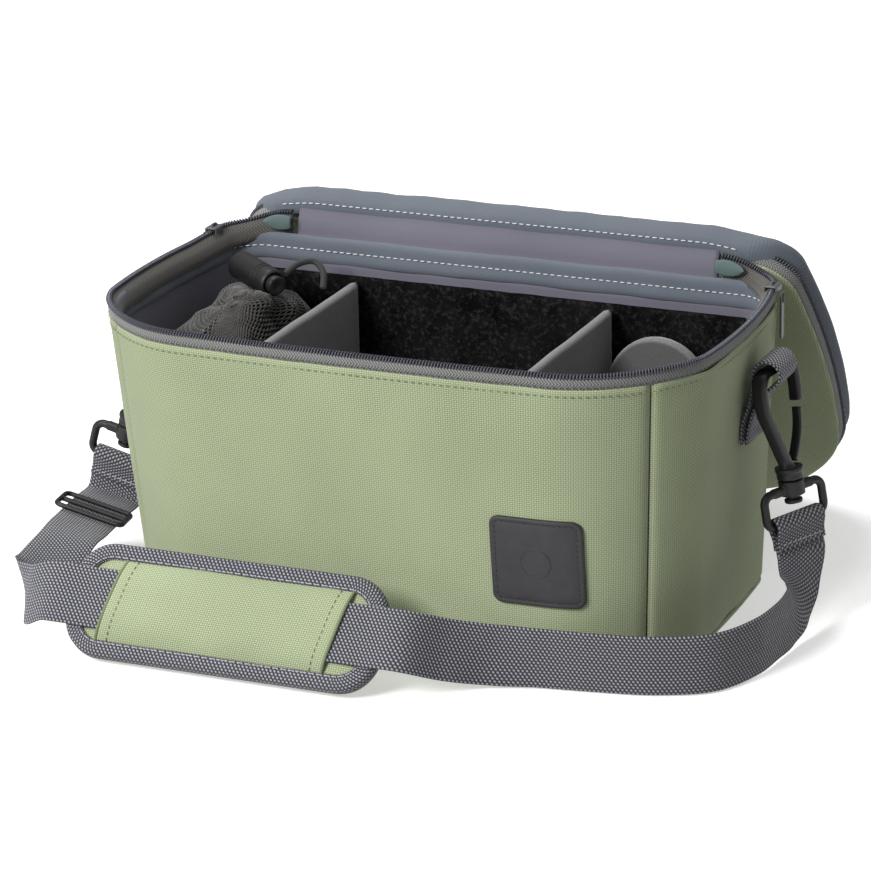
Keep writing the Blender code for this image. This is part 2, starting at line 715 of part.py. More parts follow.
def build_hook(sign, name, hook_yaw_deg, frame_yaw_deg):
    """A plastic snap hook: body, sprung gate, and a webbing frame that swivels on the stem."""
    at = hook_frame(sign, hook_yaw_deg)
    bow = tube_curve("bow", "black_plastic", [(x, 0, z) for x, z in HOOK_OUTLINE], HOOK_ARM_RADIUS, 2)
    collar = rod("collar", "black_plastic", (0, 0, COLLAR_LOW), (0, 0, COLLAR_TOP), 0.0068, 24)
    stem = rod("stem", "black_plastic", (0, 0, STEM_LOW), (0, 0, COLLAR_LOW + 0.0010), HOOK_PIN_RADIUS, 20)
    flange = rod("flange", "black_plastic", (0, 0, STEM_LOW - 0.0016), (0, 0, STEM_LOW + 0.0002), 0.0046, 20)
    body = union(name + "_hook_body", "black_plastic", [collar, bow, stem, flange])
    stand([body], at)
    gate = tube_curve("gate", "black_plastic", [(x, 0, z) for x, z in GATE_OUTLINE], 0.0014, 2)
    gate = mesh_of(gate)
    place(gate, name + "_hook_gate", "black_plastic")
    gate.data.transform(Matrix.Translation(-GATE_ROOT))
    gate.location = GATE_ROOT
    bpy.context.view_layer.update()
    stand([gate], at)

    turned = hook_frame(sign, frame_yaw_deg)
    half = WEB_WIDTH / 2 + 0.0030
    top, low = HUB_TOP - 0.0045, BAR_LOW
    round_by = 0.0045
    ring_points = []
    for cx, cz, start in (
        (half - round_by, top - round_by, 0), (-half + round_by, top - round_by, 90),
        (-half + round_by, low + round_by, 180), (half - round_by, low + round_by, 270),
    ):
        for step in range(5):
            a = math.radians(start + step * 22.5)
            ring_points.append((cx + round_by * math.cos(a), 0.0, cz + round_by * math.sin(a)))
    ring = tube_curve("ring", "black_plastic", ring_points, FRAME_BAR_RADIUS, 2, cyclic=True)
    hub = rod("hub", "black_plastic", (0, 0, HUB_LOW), (0, 0, HUB_TOP), 0.0066, 24)
    frame = union(name + "_webbing_frame", "black_plastic", [hub, ring])
    bore_radius = HOOK_PIN_RADIUS + GAP
    bore = rod("bore", "black_plastic", (0, 0, HUB_LOW - 0.004), (0, 0, HUB_TOP + 0.004), bore_radius, 20)
    cut(frame, bore)
    stand([frame], turned)

    loop = []
    bar_gap = FRAME_BAR_RADIUS + 0.0009 + WEB_THICKNESS / 2
    tail = BAR_LOW - 0.0120
    spread = 0.0016
    loop.append(((0, spread, tail), (1, 0, 0)))
    loop.append(((0, spread, BAR_LOW - 0.0070), (1, 0, 0)))
    for step in range(7):
        a = math.radians(-20 + step * 220 / 6)
        loop.append(((0, bar_gap * math.cos(a), BAR_LOW + bar_gap * math.sin(a)), (1, 0, 0)))
    loop.append(((0, -spread, BAR_LOW - 0.0070), (1, 0, 0)))
    loop.append(((0, -spread, tail), (1, 0, 0)))
    end = ribbon(name + "_strap_end_loop", "webbing", loop, WEB_WIDTH, WEB_THICKNESS)
    stand([end], turned)
    axes = turned.to_3x3()
    return turned @ Vector((0, 0, tail - 5 * GAP)), axes @ Vector((1, 0, 0)), axes @ Vector((0, 0, -1))


# ---------------------------------------------------------------- strap, slide adjuster and pad

PAD_CENTRE = Vector((-0.0590, -0.1340, 0.0270))
BINDING_RISE = 0.0010
PAD_UP = Vector((0.0, 0.5547, 0.8320))
PAD_OUT = Vector((0.0, -0.8320, 0.5547))

RIGHT_ROUTE = (
    ((0.1848, 0.0086, 0.0285), (0.42, 0.80, -0.44)), ((0.1866, -0.0005, 0.0198), (0.22, 0.52, -0.82)),
    ((0.1874, -0.0130, 0.0165), (0.08, 0.14, -0.98)), ((0.1868, -0.0320, 0.0160), (0.0, 0.0, -1.0)),
    ((0.1838, -0.0540, 0.0160), (0.0, 0.0, -1.0)), ((0.1720, -0.0785, 0.0158), (0.0, 0.0, -1.0)),
    ((0.1480, -0.0920, 0.0156), (0.0, 0.0, -1.0)), ((0.1180, -0.0990, 0.0156), (0.0, 0.0, -1.0)),
    ((0.0920, -0.1030, 0.0158), (0.0, -0.04, -1.0)), ((0.0700, -0.1100, 0.0170), (0.0, -0.18, -0.98)),
    ((0.0520, -0.1230, 0.0220), (0.0, -0.40, -0.91)),
)
LEFT_ROUTE = (
    ((-0.1685, -0.1315, 0.0235), (0.10, -0.45, -0.88)), ((-0.1785, -0.1150, 0.0205), (0.42, -0.36, -0.83)),
    ((-0.1815, -0.0900, 0.0215), (0.84, -0.18, -0.50)), ((-0.1825, -0.0620, 0.0280), (1.0, 0.0, -0.22)),
)


def build_strap(right_start, left_end):
    """The main strap, from the right-hand hook's loop, along the ground and through the pad, to the left."""
    (r_at, r_across, r_down), (l_at, l_across, l_down) = right_start, left_end
    strap_offset = PAD_OUT * (PAD_THICKNESS / 2 + BINDING_RISE + WEB_THICKNESS / 2 + GAP)
    middle = PAD_CENTRE + strap_offset
    half = Vector((PAD_LENGTH / 2 + PAD_TRAVEL + 0.001, 0, 0))
    route = [(r_at, r_across), (r_at + r_down * 0.003, r_across)]
    route += list(RIGHT_ROUTE)
    route += [(middle + half * share, -PAD_UP) for share in (1.0, 0.75, 0.25, -0.25, -0.75, -1.0)]
    route += list(LEFT_ROUTE)
    above, below = l_at + l_down * 0.006, Vector(LEFT_ROUTE[-1][0])
    route += [(below.lerp(above, share), l_across) for share in (0.25, 0.50, 0.75)]
    route += [(above, l_across), (l_at, l_across)]
    steps = 4
    stations = smooth_stations(route, steps)
    del stations[-steps:-1], stations[1:steps]
    ribbon("main_strap", "webbing", stations, WEB_WIDTH, WEB_THICKNESS)


def pad_loop(length, width, radius, steps=6):
    """A rounded rectangle in the pad's own plane, as (along, up) pairs."""
    loop = []
    for cx, cy, start in ((1, 1, 0), (-1, 1, 90), (-1, -1, 180), (1, -1, 270)):
        for step in range(steps + 1):
            a = math.radians(start + 90 * step / steps)
            loop.append((
                cx * (length / 2 - radius) + radius * math.cos(a),
                cy * (width / 2 - radius) + radius * math.sin(a),
            ))
    return loop


def pad_matrix():
    return Matrix((
        (1, PAD_UP.x, PAD_OUT.x, PAD_CENTRE.x), (0, PAD_UP.y, PAD_OUT.y, PAD_CENTRE.y),
        (0, PAD_UP.z, PAD_OUT.z, PAD_CENTRE.z), (0, 0, 0, 1),
    ))


def build_pad():
    """The shoulder pad: a soft core, its edge binding, and the sleeve that the strap runs through."""
    at = pad_matrix()
    half = PAD_THICKNESS / 2
    core_loop = pad_loop(PAD_LENGTH - 0.005, PAD_WIDTH - 0.005, 0.0185)
    core = slab("pad_core", "sage_canvas", core_loop, half, PAD_THICKNESS)
    loop = pad_loop(PAD_LENGTH, PAD_WIDTH, 0.021)
    binding_rows = [at_height(loop, height) for height in (-half - BINDING_RISE, half + BINDING_RISE)]
    binding = surface_of_rows("pad_binding", "webbing", binding_rows, 0.0020, closed=True)
    inner = half + BINDING_RISE + GAP + WEB_THICKNESS + GAP
    length = 0.122
    profile = (
        (-0.0190, half + GAP), (-0.0168, inner + 0.0002), (0.0168, inner + 0.0002), (0.0190, half + GAP),
    )
    rows = [[(x, y, z) for x in levels(-length / 2, length / 2, 5)] for y, z in profile]
    sleeve = surface_of_rows("pad_sleeve", "sage_canvas", rows, 0.0010, offset=1.0)
    stand([core, binding, sleeve], at)


GLIDE_BAR_RADIUS = 0.0014


def build_adjuster(left_end):
    """A tri-glide: a frame of three bars lying on the left-hand run of strap."""
    l_at, l_across, l_down = left_end
    above, below = Vector(l_at + l_down * 0.006), Vector(LEFT_ROUTE[-1][0])
    spot = above.lerp(below, 0.5)
    along = (below - above).normalized()
    across = (along * l_across.dot(along) - l_across).normalized()
    normal = across.cross(along)
    at = Matrix((
        (across.x, along.x, normal.x, spot.x), (across.y, along.y, normal.y, spot.y),
        (across.z, along.z, normal.z, spot.z), (0, 0, 0, 1),
    ))
    rise = WEB_THICKNESS / 2 + GAP + 0.0020
    half_x, half_y = WEB_WIDTH / 2 + 0.0032, 0.0095
    loop = [(half_x, half_y), (-half_x, half_y), (-half_x, -half_y), (half_x, -half_y)]
    ring_points = []
    for (ax, ay), (bx, by) in zip(loop, loop[1:] + loop[:1]):
        for t in (0.08, 0.5, 0.92):
            ring_points.append((mix(ax, bx, t), mix(ay, by, t), rise))
    ring = tube_curve("glide_ring", "black_plastic", ring_points, GLIDE_BAR_RADIUS, 2, cyclic=True)
    bar = rod("glide_bar", "black_plastic", (-half_x, 0, rise), (half_x, 0, rise), GLIDE_BAR_RADIUS, 12)
    glide = union("slide_adjuster", "black_plastic", [ring, bar])
    stand([glide], at)


PATCH_X, PATCH_Z, PATCH_HALF = 0.0880, 0.0615, 0.0232


def build_patch():
    """A square leather patch, bent to the front panel it is sewn on."""
    x, z, half = PATCH_X, PATCH_Z, PATCH_HALF
    ground = {s: side_points("front", z + s, 0.0) for s in (-half, half)}

    def front_y(px, s):
        points = sorted(ground[s])
        for (ax, ay), (bx, by) in zip(points, points[1:]):
            if ax <= px <= bx:
                return mix(ay, by, (px - ax) / (bx - ax))
        return points[0][1]

    rows = []
    for s in (-half, 0.0, half):
        row = []
        for px in levels(x - half, x + half, 7):
            y = mix(front_y(px, -half), front_y(px, half), (s + half) / (2 * half))
            row.append((px, y - GAP - 0.0020, z + s))
        rows.append(row)
    surface_of_rows("leather_patch", "grey_leather", rows, 0.0014)


# ---------------------------------------------------------------- the whole bag


def build_all():
    build_panels()
    build_base()
    build_lining()
    build_body_zip()
    build_hinge_strip()
    build_sliders()
    build_lid()
    build_divider("left_divider", LEFT_DIVIDER_X)
    build_divider("right_divider", RIGHT_DIVIDER_X)
    build_half_divider()
    build_net_pouch()
    build_cord_lock()
    build_drawcord()
    build_tab(-1, "left")
    build_tab(1, "right")
    right_start = build_hook(1, "right", *RIGHT_HOOK_YAW_DEG)
    left_end = build_hook(-1, "left", *LEFT_HOOK_YAW_DEG)
    build_strap(right_start, left_end)
    build_adjuster(left_end)
    build_pad()
    build_patch()


build_all()
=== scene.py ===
"""Zip-top organizer bag: the looks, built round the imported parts. Metres, in the parts' own frame."""

import json
import math
from contextlib import contextmanager

import bmesh
import bpy
from mathutils import Matrix, Vector, noise


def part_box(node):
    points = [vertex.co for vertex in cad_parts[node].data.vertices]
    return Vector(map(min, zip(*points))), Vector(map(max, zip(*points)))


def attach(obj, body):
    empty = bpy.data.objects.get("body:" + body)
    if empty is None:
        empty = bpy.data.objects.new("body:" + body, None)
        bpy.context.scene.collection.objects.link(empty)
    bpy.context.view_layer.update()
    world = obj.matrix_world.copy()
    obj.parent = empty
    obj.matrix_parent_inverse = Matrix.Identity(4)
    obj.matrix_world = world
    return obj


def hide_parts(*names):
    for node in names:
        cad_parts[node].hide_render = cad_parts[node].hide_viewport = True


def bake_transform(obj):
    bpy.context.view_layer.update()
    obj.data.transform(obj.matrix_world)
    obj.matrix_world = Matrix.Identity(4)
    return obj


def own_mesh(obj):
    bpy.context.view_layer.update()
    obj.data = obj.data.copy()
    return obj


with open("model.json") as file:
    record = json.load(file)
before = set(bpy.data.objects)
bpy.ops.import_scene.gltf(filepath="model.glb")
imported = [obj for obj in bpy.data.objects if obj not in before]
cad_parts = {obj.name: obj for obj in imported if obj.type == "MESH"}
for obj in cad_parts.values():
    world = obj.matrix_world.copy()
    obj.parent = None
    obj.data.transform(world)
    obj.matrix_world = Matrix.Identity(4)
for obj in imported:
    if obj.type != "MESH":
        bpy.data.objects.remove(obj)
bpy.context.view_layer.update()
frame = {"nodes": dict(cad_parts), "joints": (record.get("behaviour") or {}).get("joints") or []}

# ---------------------------------------------------------------- driving dimensions

RIM_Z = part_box("body_zip_teeth")[1].z
SEAM_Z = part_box("front_panel")[1].z
BASE_TOP_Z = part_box("base_panel")[1].z
FLOOR_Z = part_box("floor_lining")[1].z
FACING_LOW_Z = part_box("rim_facing")[0].z + 0.0062
RIM_WIDTH, RIM_DEPTH = 0.300, 0.182
BASE_WIDTH, BASE_DEPTH = 0.286, 0.172
RIM_SHIFT_Y = -0.010
FRONT_RADIUS, REAR_RADIUS = 0.054, 0.020
FRONT_SEAM_TURN_DEG = 52.0
RIM_FRONT_BOW, BASE_FRONT_BOW = 0.006, 0.004
RIM_END_BOW, BASE_END_BOW = 0.010, 0.004
PANEL_THICKNESS = 0.0030
INNER_INSET = 0.0034
REAR_Y = RIM_SHIFT_Y + RIM_DEPTH / 2
ZIP_END_X = 0.118

LID_HINGE = next(j for j in frame["joints"] if j["name"] == "lid_hinge")
HINGE = Vector(LID_HINGE["pos_m"])
OPEN_DEG = LID_HINGE["range_deg"][1]
LID_TOP_Z = RIM_Z + 0.0115
LID_TURN = Matrix.Rotation(-math.radians(OPEN_DEG), 4, "X")
OPEN = Matrix.Translation(HINGE) @ LID_TURN @ Matrix.Translation(-HINGE)

WEB_WIDTH, WEB_THICKNESS = 0.030, 0.0016
STITCH_LENGTH, STITCH_GAP, STITCH_RADIUS = 0.0026, 0.0012, 0.00032

# ---------------------------------------------------------------- materials


class Nodes:
    """A material's node tree, with short calls for the nodes that these fabrics use."""

    def __init__(self, name, roughness, metallic=0.0, sheen=0.0, specular=0.5):
        self.material = bpy.data.materials.new(name)
        self.material.use_nodes = True
        self.tree = self.material.node_tree
        self.shader = self.tree.nodes["Principled BSDF"]
        self.shader.inputs["Roughness"].default_value = roughness
        self.shader.inputs["Metallic"].default_value = metallic
        self.shader.inputs["Sheen Weight"].default_value = sheen
        self.shader.inputs["Sheen Roughness"].default_value = 0.5
        self.shader.inputs["Specular IOR Level"].default_value = specular

    def new(self, kind, **settings):
        node = self.tree.nodes.new(kind)
        for key, value in settings.items():
            setattr(node, key, value)
        return node

    def link(self, source, target):
        self.tree.links.new(source, target)

    def math(self, operation, a, b=None, c=None):
        node = self.new("ShaderNodeMath", operation=operation)
        for socket, value in zip(node.inputs, (a, b, c)):
            if value is None:
                continue
            if isinstance(value, (int, float)):
                socket.default_value = value
            else:
                self.link(value, socket)
        return node.outputs[0]

    def uv(self):
        """The surface's own coordinates in metres: along it, and up it."""
        node = self.new("ShaderNodeUVMap", uv_map="metres")
        split = self.new("ShaderNodeSeparateXYZ")
        self.link(node.outputs[0], split.inputs[0])
        return split.outputs[0], split.outputs[1]

    def place(self):
        return self.new("ShaderNodeTexCoord").outputs["Object"]

    def noise(self, scale, detail=3.0, roughness=0.55):
        node = self.new("ShaderNodeTexNoise")
        node.inputs["Scale"].default_value = scale
        node.inputs["Detail"].default_value = detail
        node.inputs["Roughness"].default_value = roughness
        self.link(self.place(), node.inputs["Vector"])
        return node.outputs[0]

    def ramp(self, value, stops):
        node = self.new("ShaderNodeValToRGB")
        while len(node.color_ramp.elements) < len(stops):
            node.color_ramp.elements.new(0.5)
        for element, (position, colour) in zip(node.color_ramp.elements, stops):
            element.position = position
            element.color = (*colour, 1.0)
        self.link(value, node.inputs[0])
        return node.outputs[0]

    def mix(self, share, a, b, blend="MIX"):
        node = self.new("ShaderNodeMix", data_type="RGBA", blend_type=blend)
        for socket, value in ((node.inputs[0], share), (node.inputs[6], a), (node.inputs[7], b)):
            if isinstance(value, (int, float)):
                socket.default_value = value
            elif isinstance(value, tuple):
                socket.default_value = (*value, 1.0)
            else:
                self.link(value, socket)
        return node.outputs[2]

    def colour(self, value):
        if isinstance(value, tuple):
            self.shader.inputs["Base Color"].default_value = (*value, 1.0)
        else:
            self.link(value, self.shader.inputs["Base Color"])

    def rough(self, value, low, high):
        node = self.new("ShaderNodeMapRange")
        node.inputs["To Min"].default_value = low
        node.inputs["To Max"].default_value = high
        self.link(value, node.inputs["Value"])
        self.link(node.outputs[0], self.shader.inputs["Roughness"])

    def bump(self, *heights):
        """Bumps stacked on each other, as (height, distance in metres, strength)."""
        last = None
        for height, distance, strength in heights:
            node = self.new("ShaderNodeBump")
            node.inputs["Strength"].default_value = strength
            node.inputs["Distance"].default_value = distance
            self.link(height, node.inputs["Height"])
            if last is not None:
                self.link(last, node.inputs["Normal"])
            last = node.outputs[0]
        self.link(last, self.shader.inputs["Normal"])


def plain_weave(n, pitch_u, pitch_v):
    """Height of a plain weave, and which of its threads is on top (1 for those running along v)."""
    u, v = n.uv()
    across = n.math("SINE", n.math("MULTIPLY", u, math.pi / pitch_u))
    along = n.math("SINE", n.math("MULTIPLY", v, math.pi / pitch_v))
    top = n.math("GREATER_THAN", n.math("MULTIPLY", across, along), 0.0)
    a = n.math("POWER", n.math("ABSOLUTE", across), 0.5)
    b = n.math("POWER", n.math("ABSOLUTE", along), 0.5)
    warp = n.math("MULTIPLY", a, n.math("MULTIPLY_ADD", b, 0.5, 0.5))
    weft = n.math("MULTIPLY", b, n.math("MULTIPLY_ADD", a, 0.5, 0.5))
    under = n.math("MULTIPLY", weft, n.math("SUBTRACT", 1.0, top))
    return n.math("ADD", n.math("MULTIPLY", warp, top), under), top


def woven(name, light, dark, pitch_u, pitch_v, roughness=0.85, depth=0.00022, sheen=0.15, wear=0.12):
    """A woven cloth: two thread shades, painted shade in the gaps between threads, slow variation and a fine
    fuzz.
    """
    n = Nodes(name, roughness, sheen=sheen, specular=0.25)
    height, top = plain_weave(n, pitch_u, pitch_v)
    slow, fuzz = n.noise(14.0, 2.0), n.noise(2600.0, 2.0)
    shade = n.mix(top, light, tuple(0.86 * c for c in light))
    # painted shade: the gaps between threads are darkened towards the dark colour
    gap = n.math("SUBTRACT", 1.0, n.math("POWER", height, 1.4))
    shade = n.mix(n.math("MULTIPLY", gap, 0.9), shade, dark)
    clouds = n.ramp(slow, ((0.35, tuple(0.6 * c for c in light)), (0.65, tuple(1.3 * c for c in light))))
    n.colour(n.mix(wear, shade, clouds))
    n.rough(fuzz, roughness - 0.08, min(roughness + 0.1, 1.0))
    n.bump((height, depth, 0.9), (fuzz, 0.00006, 0.5), (slow, 0.0016, 0.25))
    return n.material


def webbing_material():
    """Coarse webbing: rows of slanting flecks, which are painted highlight where a thread rides over, with
    painted shade in the hollows between.
    """
    n = Nodes("webbing_weave", 0.72, sheen=0.2, specular=0.35)
    u, v = n.uv()
    pitch_u, pitch_v = 0.0021, 0.0015
    lane = n.math("FLOOR", n.math("DIVIDE", v, pitch_v))
    side = n.math("MULTIPLY", n.math("PINGPONG", lane, 1.0), pitch_u / 2)
    shifted = n.math("ADD", u, side)
    slanted = n.math("MULTIPLY_ADD", n.math("FRACT", n.math("DIVIDE", v, pitch_v)), 0.0005, shifted)
    across = n.math("ABSOLUTE", n.math("SINE", n.math("MULTIPLY", slanted, math.pi / pitch_u)))
    along = n.math("ABSOLUTE", n.math("SINE", n.math("MULTIPLY", v, math.pi / pitch_v)))
    thread_crest = n.math("MULTIPLY", n.math("POWER", across, 1.6), n.math("POWER", along, 0.6))
    fibre = n.noise(1900.0, 3.0)
    height = n.math("MULTIPLY_ADD", fibre, 0.15, thread_crest)
    # painted highlight and shade: the colour follows the weave's height, near black in the hollows and light
    # on the crests
    shades = ((0.18, (0.016, 0.016, 0.019)), (0.55, (0.085, 0.085, 0.098)), (0.95, (0.36, 0.36, 0.41)))
    n.colour(n.ramp(height, shades))
    n.rough(fibre, 0.6, 0.85)
    n.bump((height, 0.00045, 1.0), (fibre, 0.00008, 0.5))
    return n.material


def tape_material(name, light, dark):
    """Zip tape: a fine herringbone, its slant changing direction from lane to lane, its ridges painted light
    (painted highlight) and its grooves dark (painted shade).
    """
    n = Nodes(name, 0.8, sheen=0.2, specular=0.3)
    u, v = n.uv()
    lane_width = 0.0022
    zigzag = n.math("PINGPONG", v, lane_width)
    slanted = n.math("ADD", u, n.math("MULTIPLY", zigzag, 0.9))
    ridge = n.math("ABSOLUTE", n.math("SINE", n.math("MULTIPLY", slanted, math.pi / 0.0016)))
    fibre = n.noise(2200.0, 2.0)
    height = n.math("MULTIPLY_ADD", fibre, 0.25, ridge)
    # painted highlight and shade: dark in the grooves, light on the ridges
    n.colour(n.ramp(height, ((0.15, dark), (1.0, light))))
    n.bump((height, 0.00025, 0.9))
    return n.material


def felt_material(name, light, dark, scale=900.0, depth=0.0002, contrast=(0.3, 0.7), sheen=0.35):
    """Pressed fibre: cloudy at two sizes, matt, with a slight nap."""
    n = Nodes(name, 0.95, sheen=sheen, specular=0.08)
    fine, coarse = n.noise(scale, 5.0, 0.7), n.noise(60.0, 3.0)
    shade = n.ramp(fine, ((contrast[0], dark), (contrast[1], light)))
    n.colour(n.mix(0.25, shade, n.ramp(coarse, ((0.3, dark), (0.7, light)))))
    n.bump((fine, depth, 0.9), (coarse, 0.0006, 0.2))
    return n.material


def plastic_material(name, colour, roughness=0.46):
    """Moulded plastic: a soft spark-eroded grain and faint handling scuffs."""
    n = Nodes(name, roughness, specular=0.35)
    grain, scuff = n.noise(1500.0, 2.0), n.noise(90.0, 5.0, 0.7)
    n.colour(n.mix(n.math("MULTIPLY", scuff, 0.5), colour, tuple(c * 1.8 + 0.002 for c in colour)))
    n.rough(scuff, roughness - 0.10, roughness + 0.16)
    n.bump((grain, 0.00005, 0.5), (scuff, 0.00010, 0.15))
    return n.material


def coil_material():
    """Nylon coil, slightly blue and glossy on its crests."""
    n = Nodes("coil_nylon", 0.36, specular=0.6)
    scuff = n.noise(300.0, 3.0)
    n.colour(n.mix(scuff, (0.020, 0.022, 0.032), (0.060, 0.066, 0.090)))
    n.rough(scuff, 0.22, 0.40)
    n.bump((scuff, 0.00008, 0.3))
    return n.material


def leather_material():
    """Smooth dyed leather with a fine pebble grain and soft marks."""
    n = Nodes("patch_leather", 0.55, specular=0.4)
    cells = n.new("ShaderNodeTexVoronoi")
    cells.inputs["Scale"].default_value = 1500.0
    n.link(n.place(), cells.inputs["Vector"])
    cloud = n.noise(120.0, 4.0, 0.65)
    n.colour(n.ramp(cloud, ((0.3, (0.016, 0.016, 0.018)), (0.7, (0.029, 0.029, 0.032)))))
    n.rough(cloud, 0.48, 0.68)
    n.bump((cells.outputs["Distance"], 0.00009, 0.6), (cloud, 0.0003, 0.25))
    return n.material


def net_material():
    """Knitted cord net: dull black yarn, lighter and darker at random along its fibres."""
    n = Nodes("net_yarn", 0.8, sheen=0.3, specular=0.3)
    fibre = n.noise(1400.0, 3.0)
    n.colour(n.ramp(fibre, ((0.35, (0.012, 0.0115, 0.010)), (0.75, (0.052, 0.048, 0.042)))))
    n.bump((fibre, 0.0002, 0.8))
    return n.material


def thread_material(name, colour):
    """Sewing thread: two twisted plies."""
    n = Nodes(name, 0.65, sheen=0.2, specular=0.35)
    fibre = n.noise(3000.0, 2.0)
    n.colour(n.mix(fibre, tuple(0.75 * c for c in colour), tuple(min(1.15 * c, 1.0) for c in colour)))
    n.bump((fibre, 0.00006, 0.6))
    return n.material


# In the woven cloths and zip tapes, the darker colour is painted shade in the gaps and grooves between
# threads.
MATERIALS = {
    "canvas": woven(
        "sage_canvas_weave", (0.440, 0.500, 0.315), (0.105, 0.130, 0.060), 0.00120, 0.00105, wear=0.10,
    ),
    "facing": woven(
        "facing_weave", (0.150, 0.172, 0.205), (0.075, 0.086, 0.105), 0.00050, 0.00050, depth=0.00010,
    ),
    "lining": woven(
        "mauve_lining_weave", (0.150, 0.143, 0.182), (0.10, 0.096, 0.122), 0.00040, 0.00040,
        0.6, 0.00006, 0.3,
    ),
    "webbing": webbing_material(),
    "tape": tape_material("zip_tape_weave", (0.230, 0.230, 0.225), (0.030, 0.030, 0.030)),
    "inner_tape": tape_material("inner_tape_weave", (0.105, 0.100, 0.088), (0.020, 0.019, 0.017)),
    "coil": coil_material(),
    "felt": felt_material("divider_felt", (0.190, 0.190, 0.190), (0.100, 0.100, 0.100)),
    "loop": felt_material(
        "loop_pile", (0.034, 0.031, 0.031), (0.0010, 0.0010, 0.0010), 420.0, 0.0016, (0.50, 0.68), 0.0,
    ),
    "plastic": plastic_material("hook_plastic", (0.0075, 0.0075, 0.0080)),
    "metal": plastic_material("dark_metal_finish", (0.070, 0.070, 0.075), 0.34),
    "leather": leather_material(),
    "net": net_material(),
    # painted shade seen through the net pouch's holes
    "net_hole_shade": felt_material("net_hole_painted_shade", (0.008, 0.008, 0.008), (0.002, 0.002, 0.002), sheen=0.0),
    "cord": thread_material("cord_braid", (0.020, 0.020, 0.021)),
    "tab": woven("teal_tape_weave", (0.125, 0.185, 0.180), (0.06, 0.09, 0.088), 0.0006, 0.0006, depth=0.0001),
    "white_thread": thread_material("white_thread", (0.62, 0.63, 0.65)),
    "grey_thread": thread_material("grey_thread", (0.40, 0.40, 0.43)),
    "green_thread": thread_material("green_thread", (0.150, 0.170, 0.095)),
    "dark_thread": thread_material("dark_thread", (0.015, 0.015, 0.016)),
    "board": plastic_material("board_sheet", (0.05, 0.05, 0.05), 0.7),
}

# ---------------------------------------------------------------- mesh building


def mix(a, b, t):
    return a + (b - a) * t


def levels(low, high, count):
    return [mix(low, high, i / (count - 1)) for i in range(count)]


def turn_angles(count):
    """One turn in equal steps, in radians."""
    return [math.tau * k / count for k in range(count)]


def wobble(point, size, amount, seed=0.0):
    """Slow, repeatable unevenness: a small signed length that varies over this size."""
    return amount * noise.noise(Vector(point) / size + Vector((seed, seed * 0.7, seed * 1.3)))


def linked(name, data):
    """A new object, in the scene."""
    obj = bpy.data.objects.new(name, data)
    bpy.context.scene.collection.objects.link(obj)
    return obj


def dressed(obj, material):
    """Gives an object this material and no other."""
    obj.data.materials.clear()
    obj.data.materials.append(MATERIALS[material])
    return obj


def fitted(piece, body, slot, *nodes):
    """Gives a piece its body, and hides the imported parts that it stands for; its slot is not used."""
    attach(piece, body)
    if nodes:
        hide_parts(*nodes)
    return piece


@contextmanager
def editing(obj):
    """An object's mesh to work on, written back afterwards."""
    mesh = bmesh.new()
    mesh.from_mesh(obj.data)
    mesh.verts.ensure_lookup_table()
    yield mesh
    mesh.to_mesh(obj.data)
    mesh.free()


def capped(obj):
    """Closes an object's open ends."""
    with editing(obj) as mesh:
        bmesh.ops.holes_fill(mesh, edges=[e for e in mesh.edges if e.is_boundary], sides=0)
        bmesh.ops.recalc_face_normals(mesh, faces=mesh.faces)
    return obj


def finish_mesh(mesh, name, material, smooth=True):
    data = bpy.data.meshes.new(name)
    mesh.to_mesh(data)
    mesh.free()
    if smooth:
        data.shade_smooth()
    return dressed(linked(name, data), material)


def thickened(obj, thickness, even=True):
    """Gives a sheet its thickness, on the side away from its face."""
    solid = obj.modifiers.new("thickness", "SOLIDIFY")
    solid.thickness = thickness
    solid.offset = -1.0
    solid.use_even_offset = even
    return obj


def grid(name, rows, material, thickness=0.0, closed=False):
    """A surface through rows of points, with coordinates in metres along and up it, thickened if asked."""
    mesh = bmesh.new()
    layer = mesh.loops.layers.uv.new("metres")
    made = [[mesh.verts.new(p) for p in row] for row in rows]
    count = len(rows[0])
    middle = [Vector(p) for p in rows[len(rows) // 2]]
    along = [0.0]
    for i in range(1, count + 1):
        along.append(along[-1] + (middle[i % count] - middle[i - 1]).length)
    column = count // 2
    up = [0.0]
    for one, two in zip(rows, rows[1:]):
        up.append(up[-1] + (Vector(two[column]) - Vector(one[column])).length)
    for i in range(len(rows) - 1):
        for j in range(count if closed else count - 1):
            k = (j + 1) % count
            face = mesh.faces.new((made[i][j], made[i][k], made[i + 1][k], made[i + 1][j]))
            for loop, a, b in zip(face.loops, (j, j + 1, j + 1, j), (i, i, i + 1, i + 1)):
                loop[layer].uv = (along[a], up[b])
    obj = finish_mesh(mesh, name, material)
    return thickened(obj, thickness) if thickness else obj


def flat_sheet(name, loop_at, insets, z_at, material, thickness=0.0):
    """A nearly flat sheet as rings from its edge to its middle, so that it can be dished or crowned."""
    rows = [[(x, y, z_at(x, y)) for x, y in loop_at(inset)] for inset in insets]
    obj = grid(name, rows, material, closed=True)
    with editing(obj) as mesh:
        layer = mesh.loops.layers.uv["metres"]
        face = mesh.faces.new(list(mesh.verts)[-len(rows[0]):])
        bmesh.ops.triangulate(mesh, faces=[face])
        for face in mesh.faces:
            for loop in face.loops:
                loop[layer].uv = loop.vert.co.xy
    obj.data.shade_smooth()
    return thickened(obj, thickness, even=False) if thickness else obj


def set_rings(obj, count, heights):
    """Moves whole rings of a flat sheet to these heights, from its edge inwards."""
    for k, z in enumerate(heights):
        for vert in obj.data.vertices[k * count:(k + 1) * count]:
            vert.co.z = z


def frames_along(points):
    """(point, direction) at each point of a run."""
    found = []
    for i, point in enumerate(points):
        before, after = points[max(i - 1, 0)], points[min(i + 1, len(points) - 1)]
        found.append((Vector(point), (Vector(after) - Vector(before)).normalized()))
    return found


def lengths_along(points):
    """The distance from a run's start to each of its points."""
    lengths = [0.0]
    for a, b in zip(points, points[1:]):
        lengths.append(lengths[-1] + (b - a).length)
    return lengths


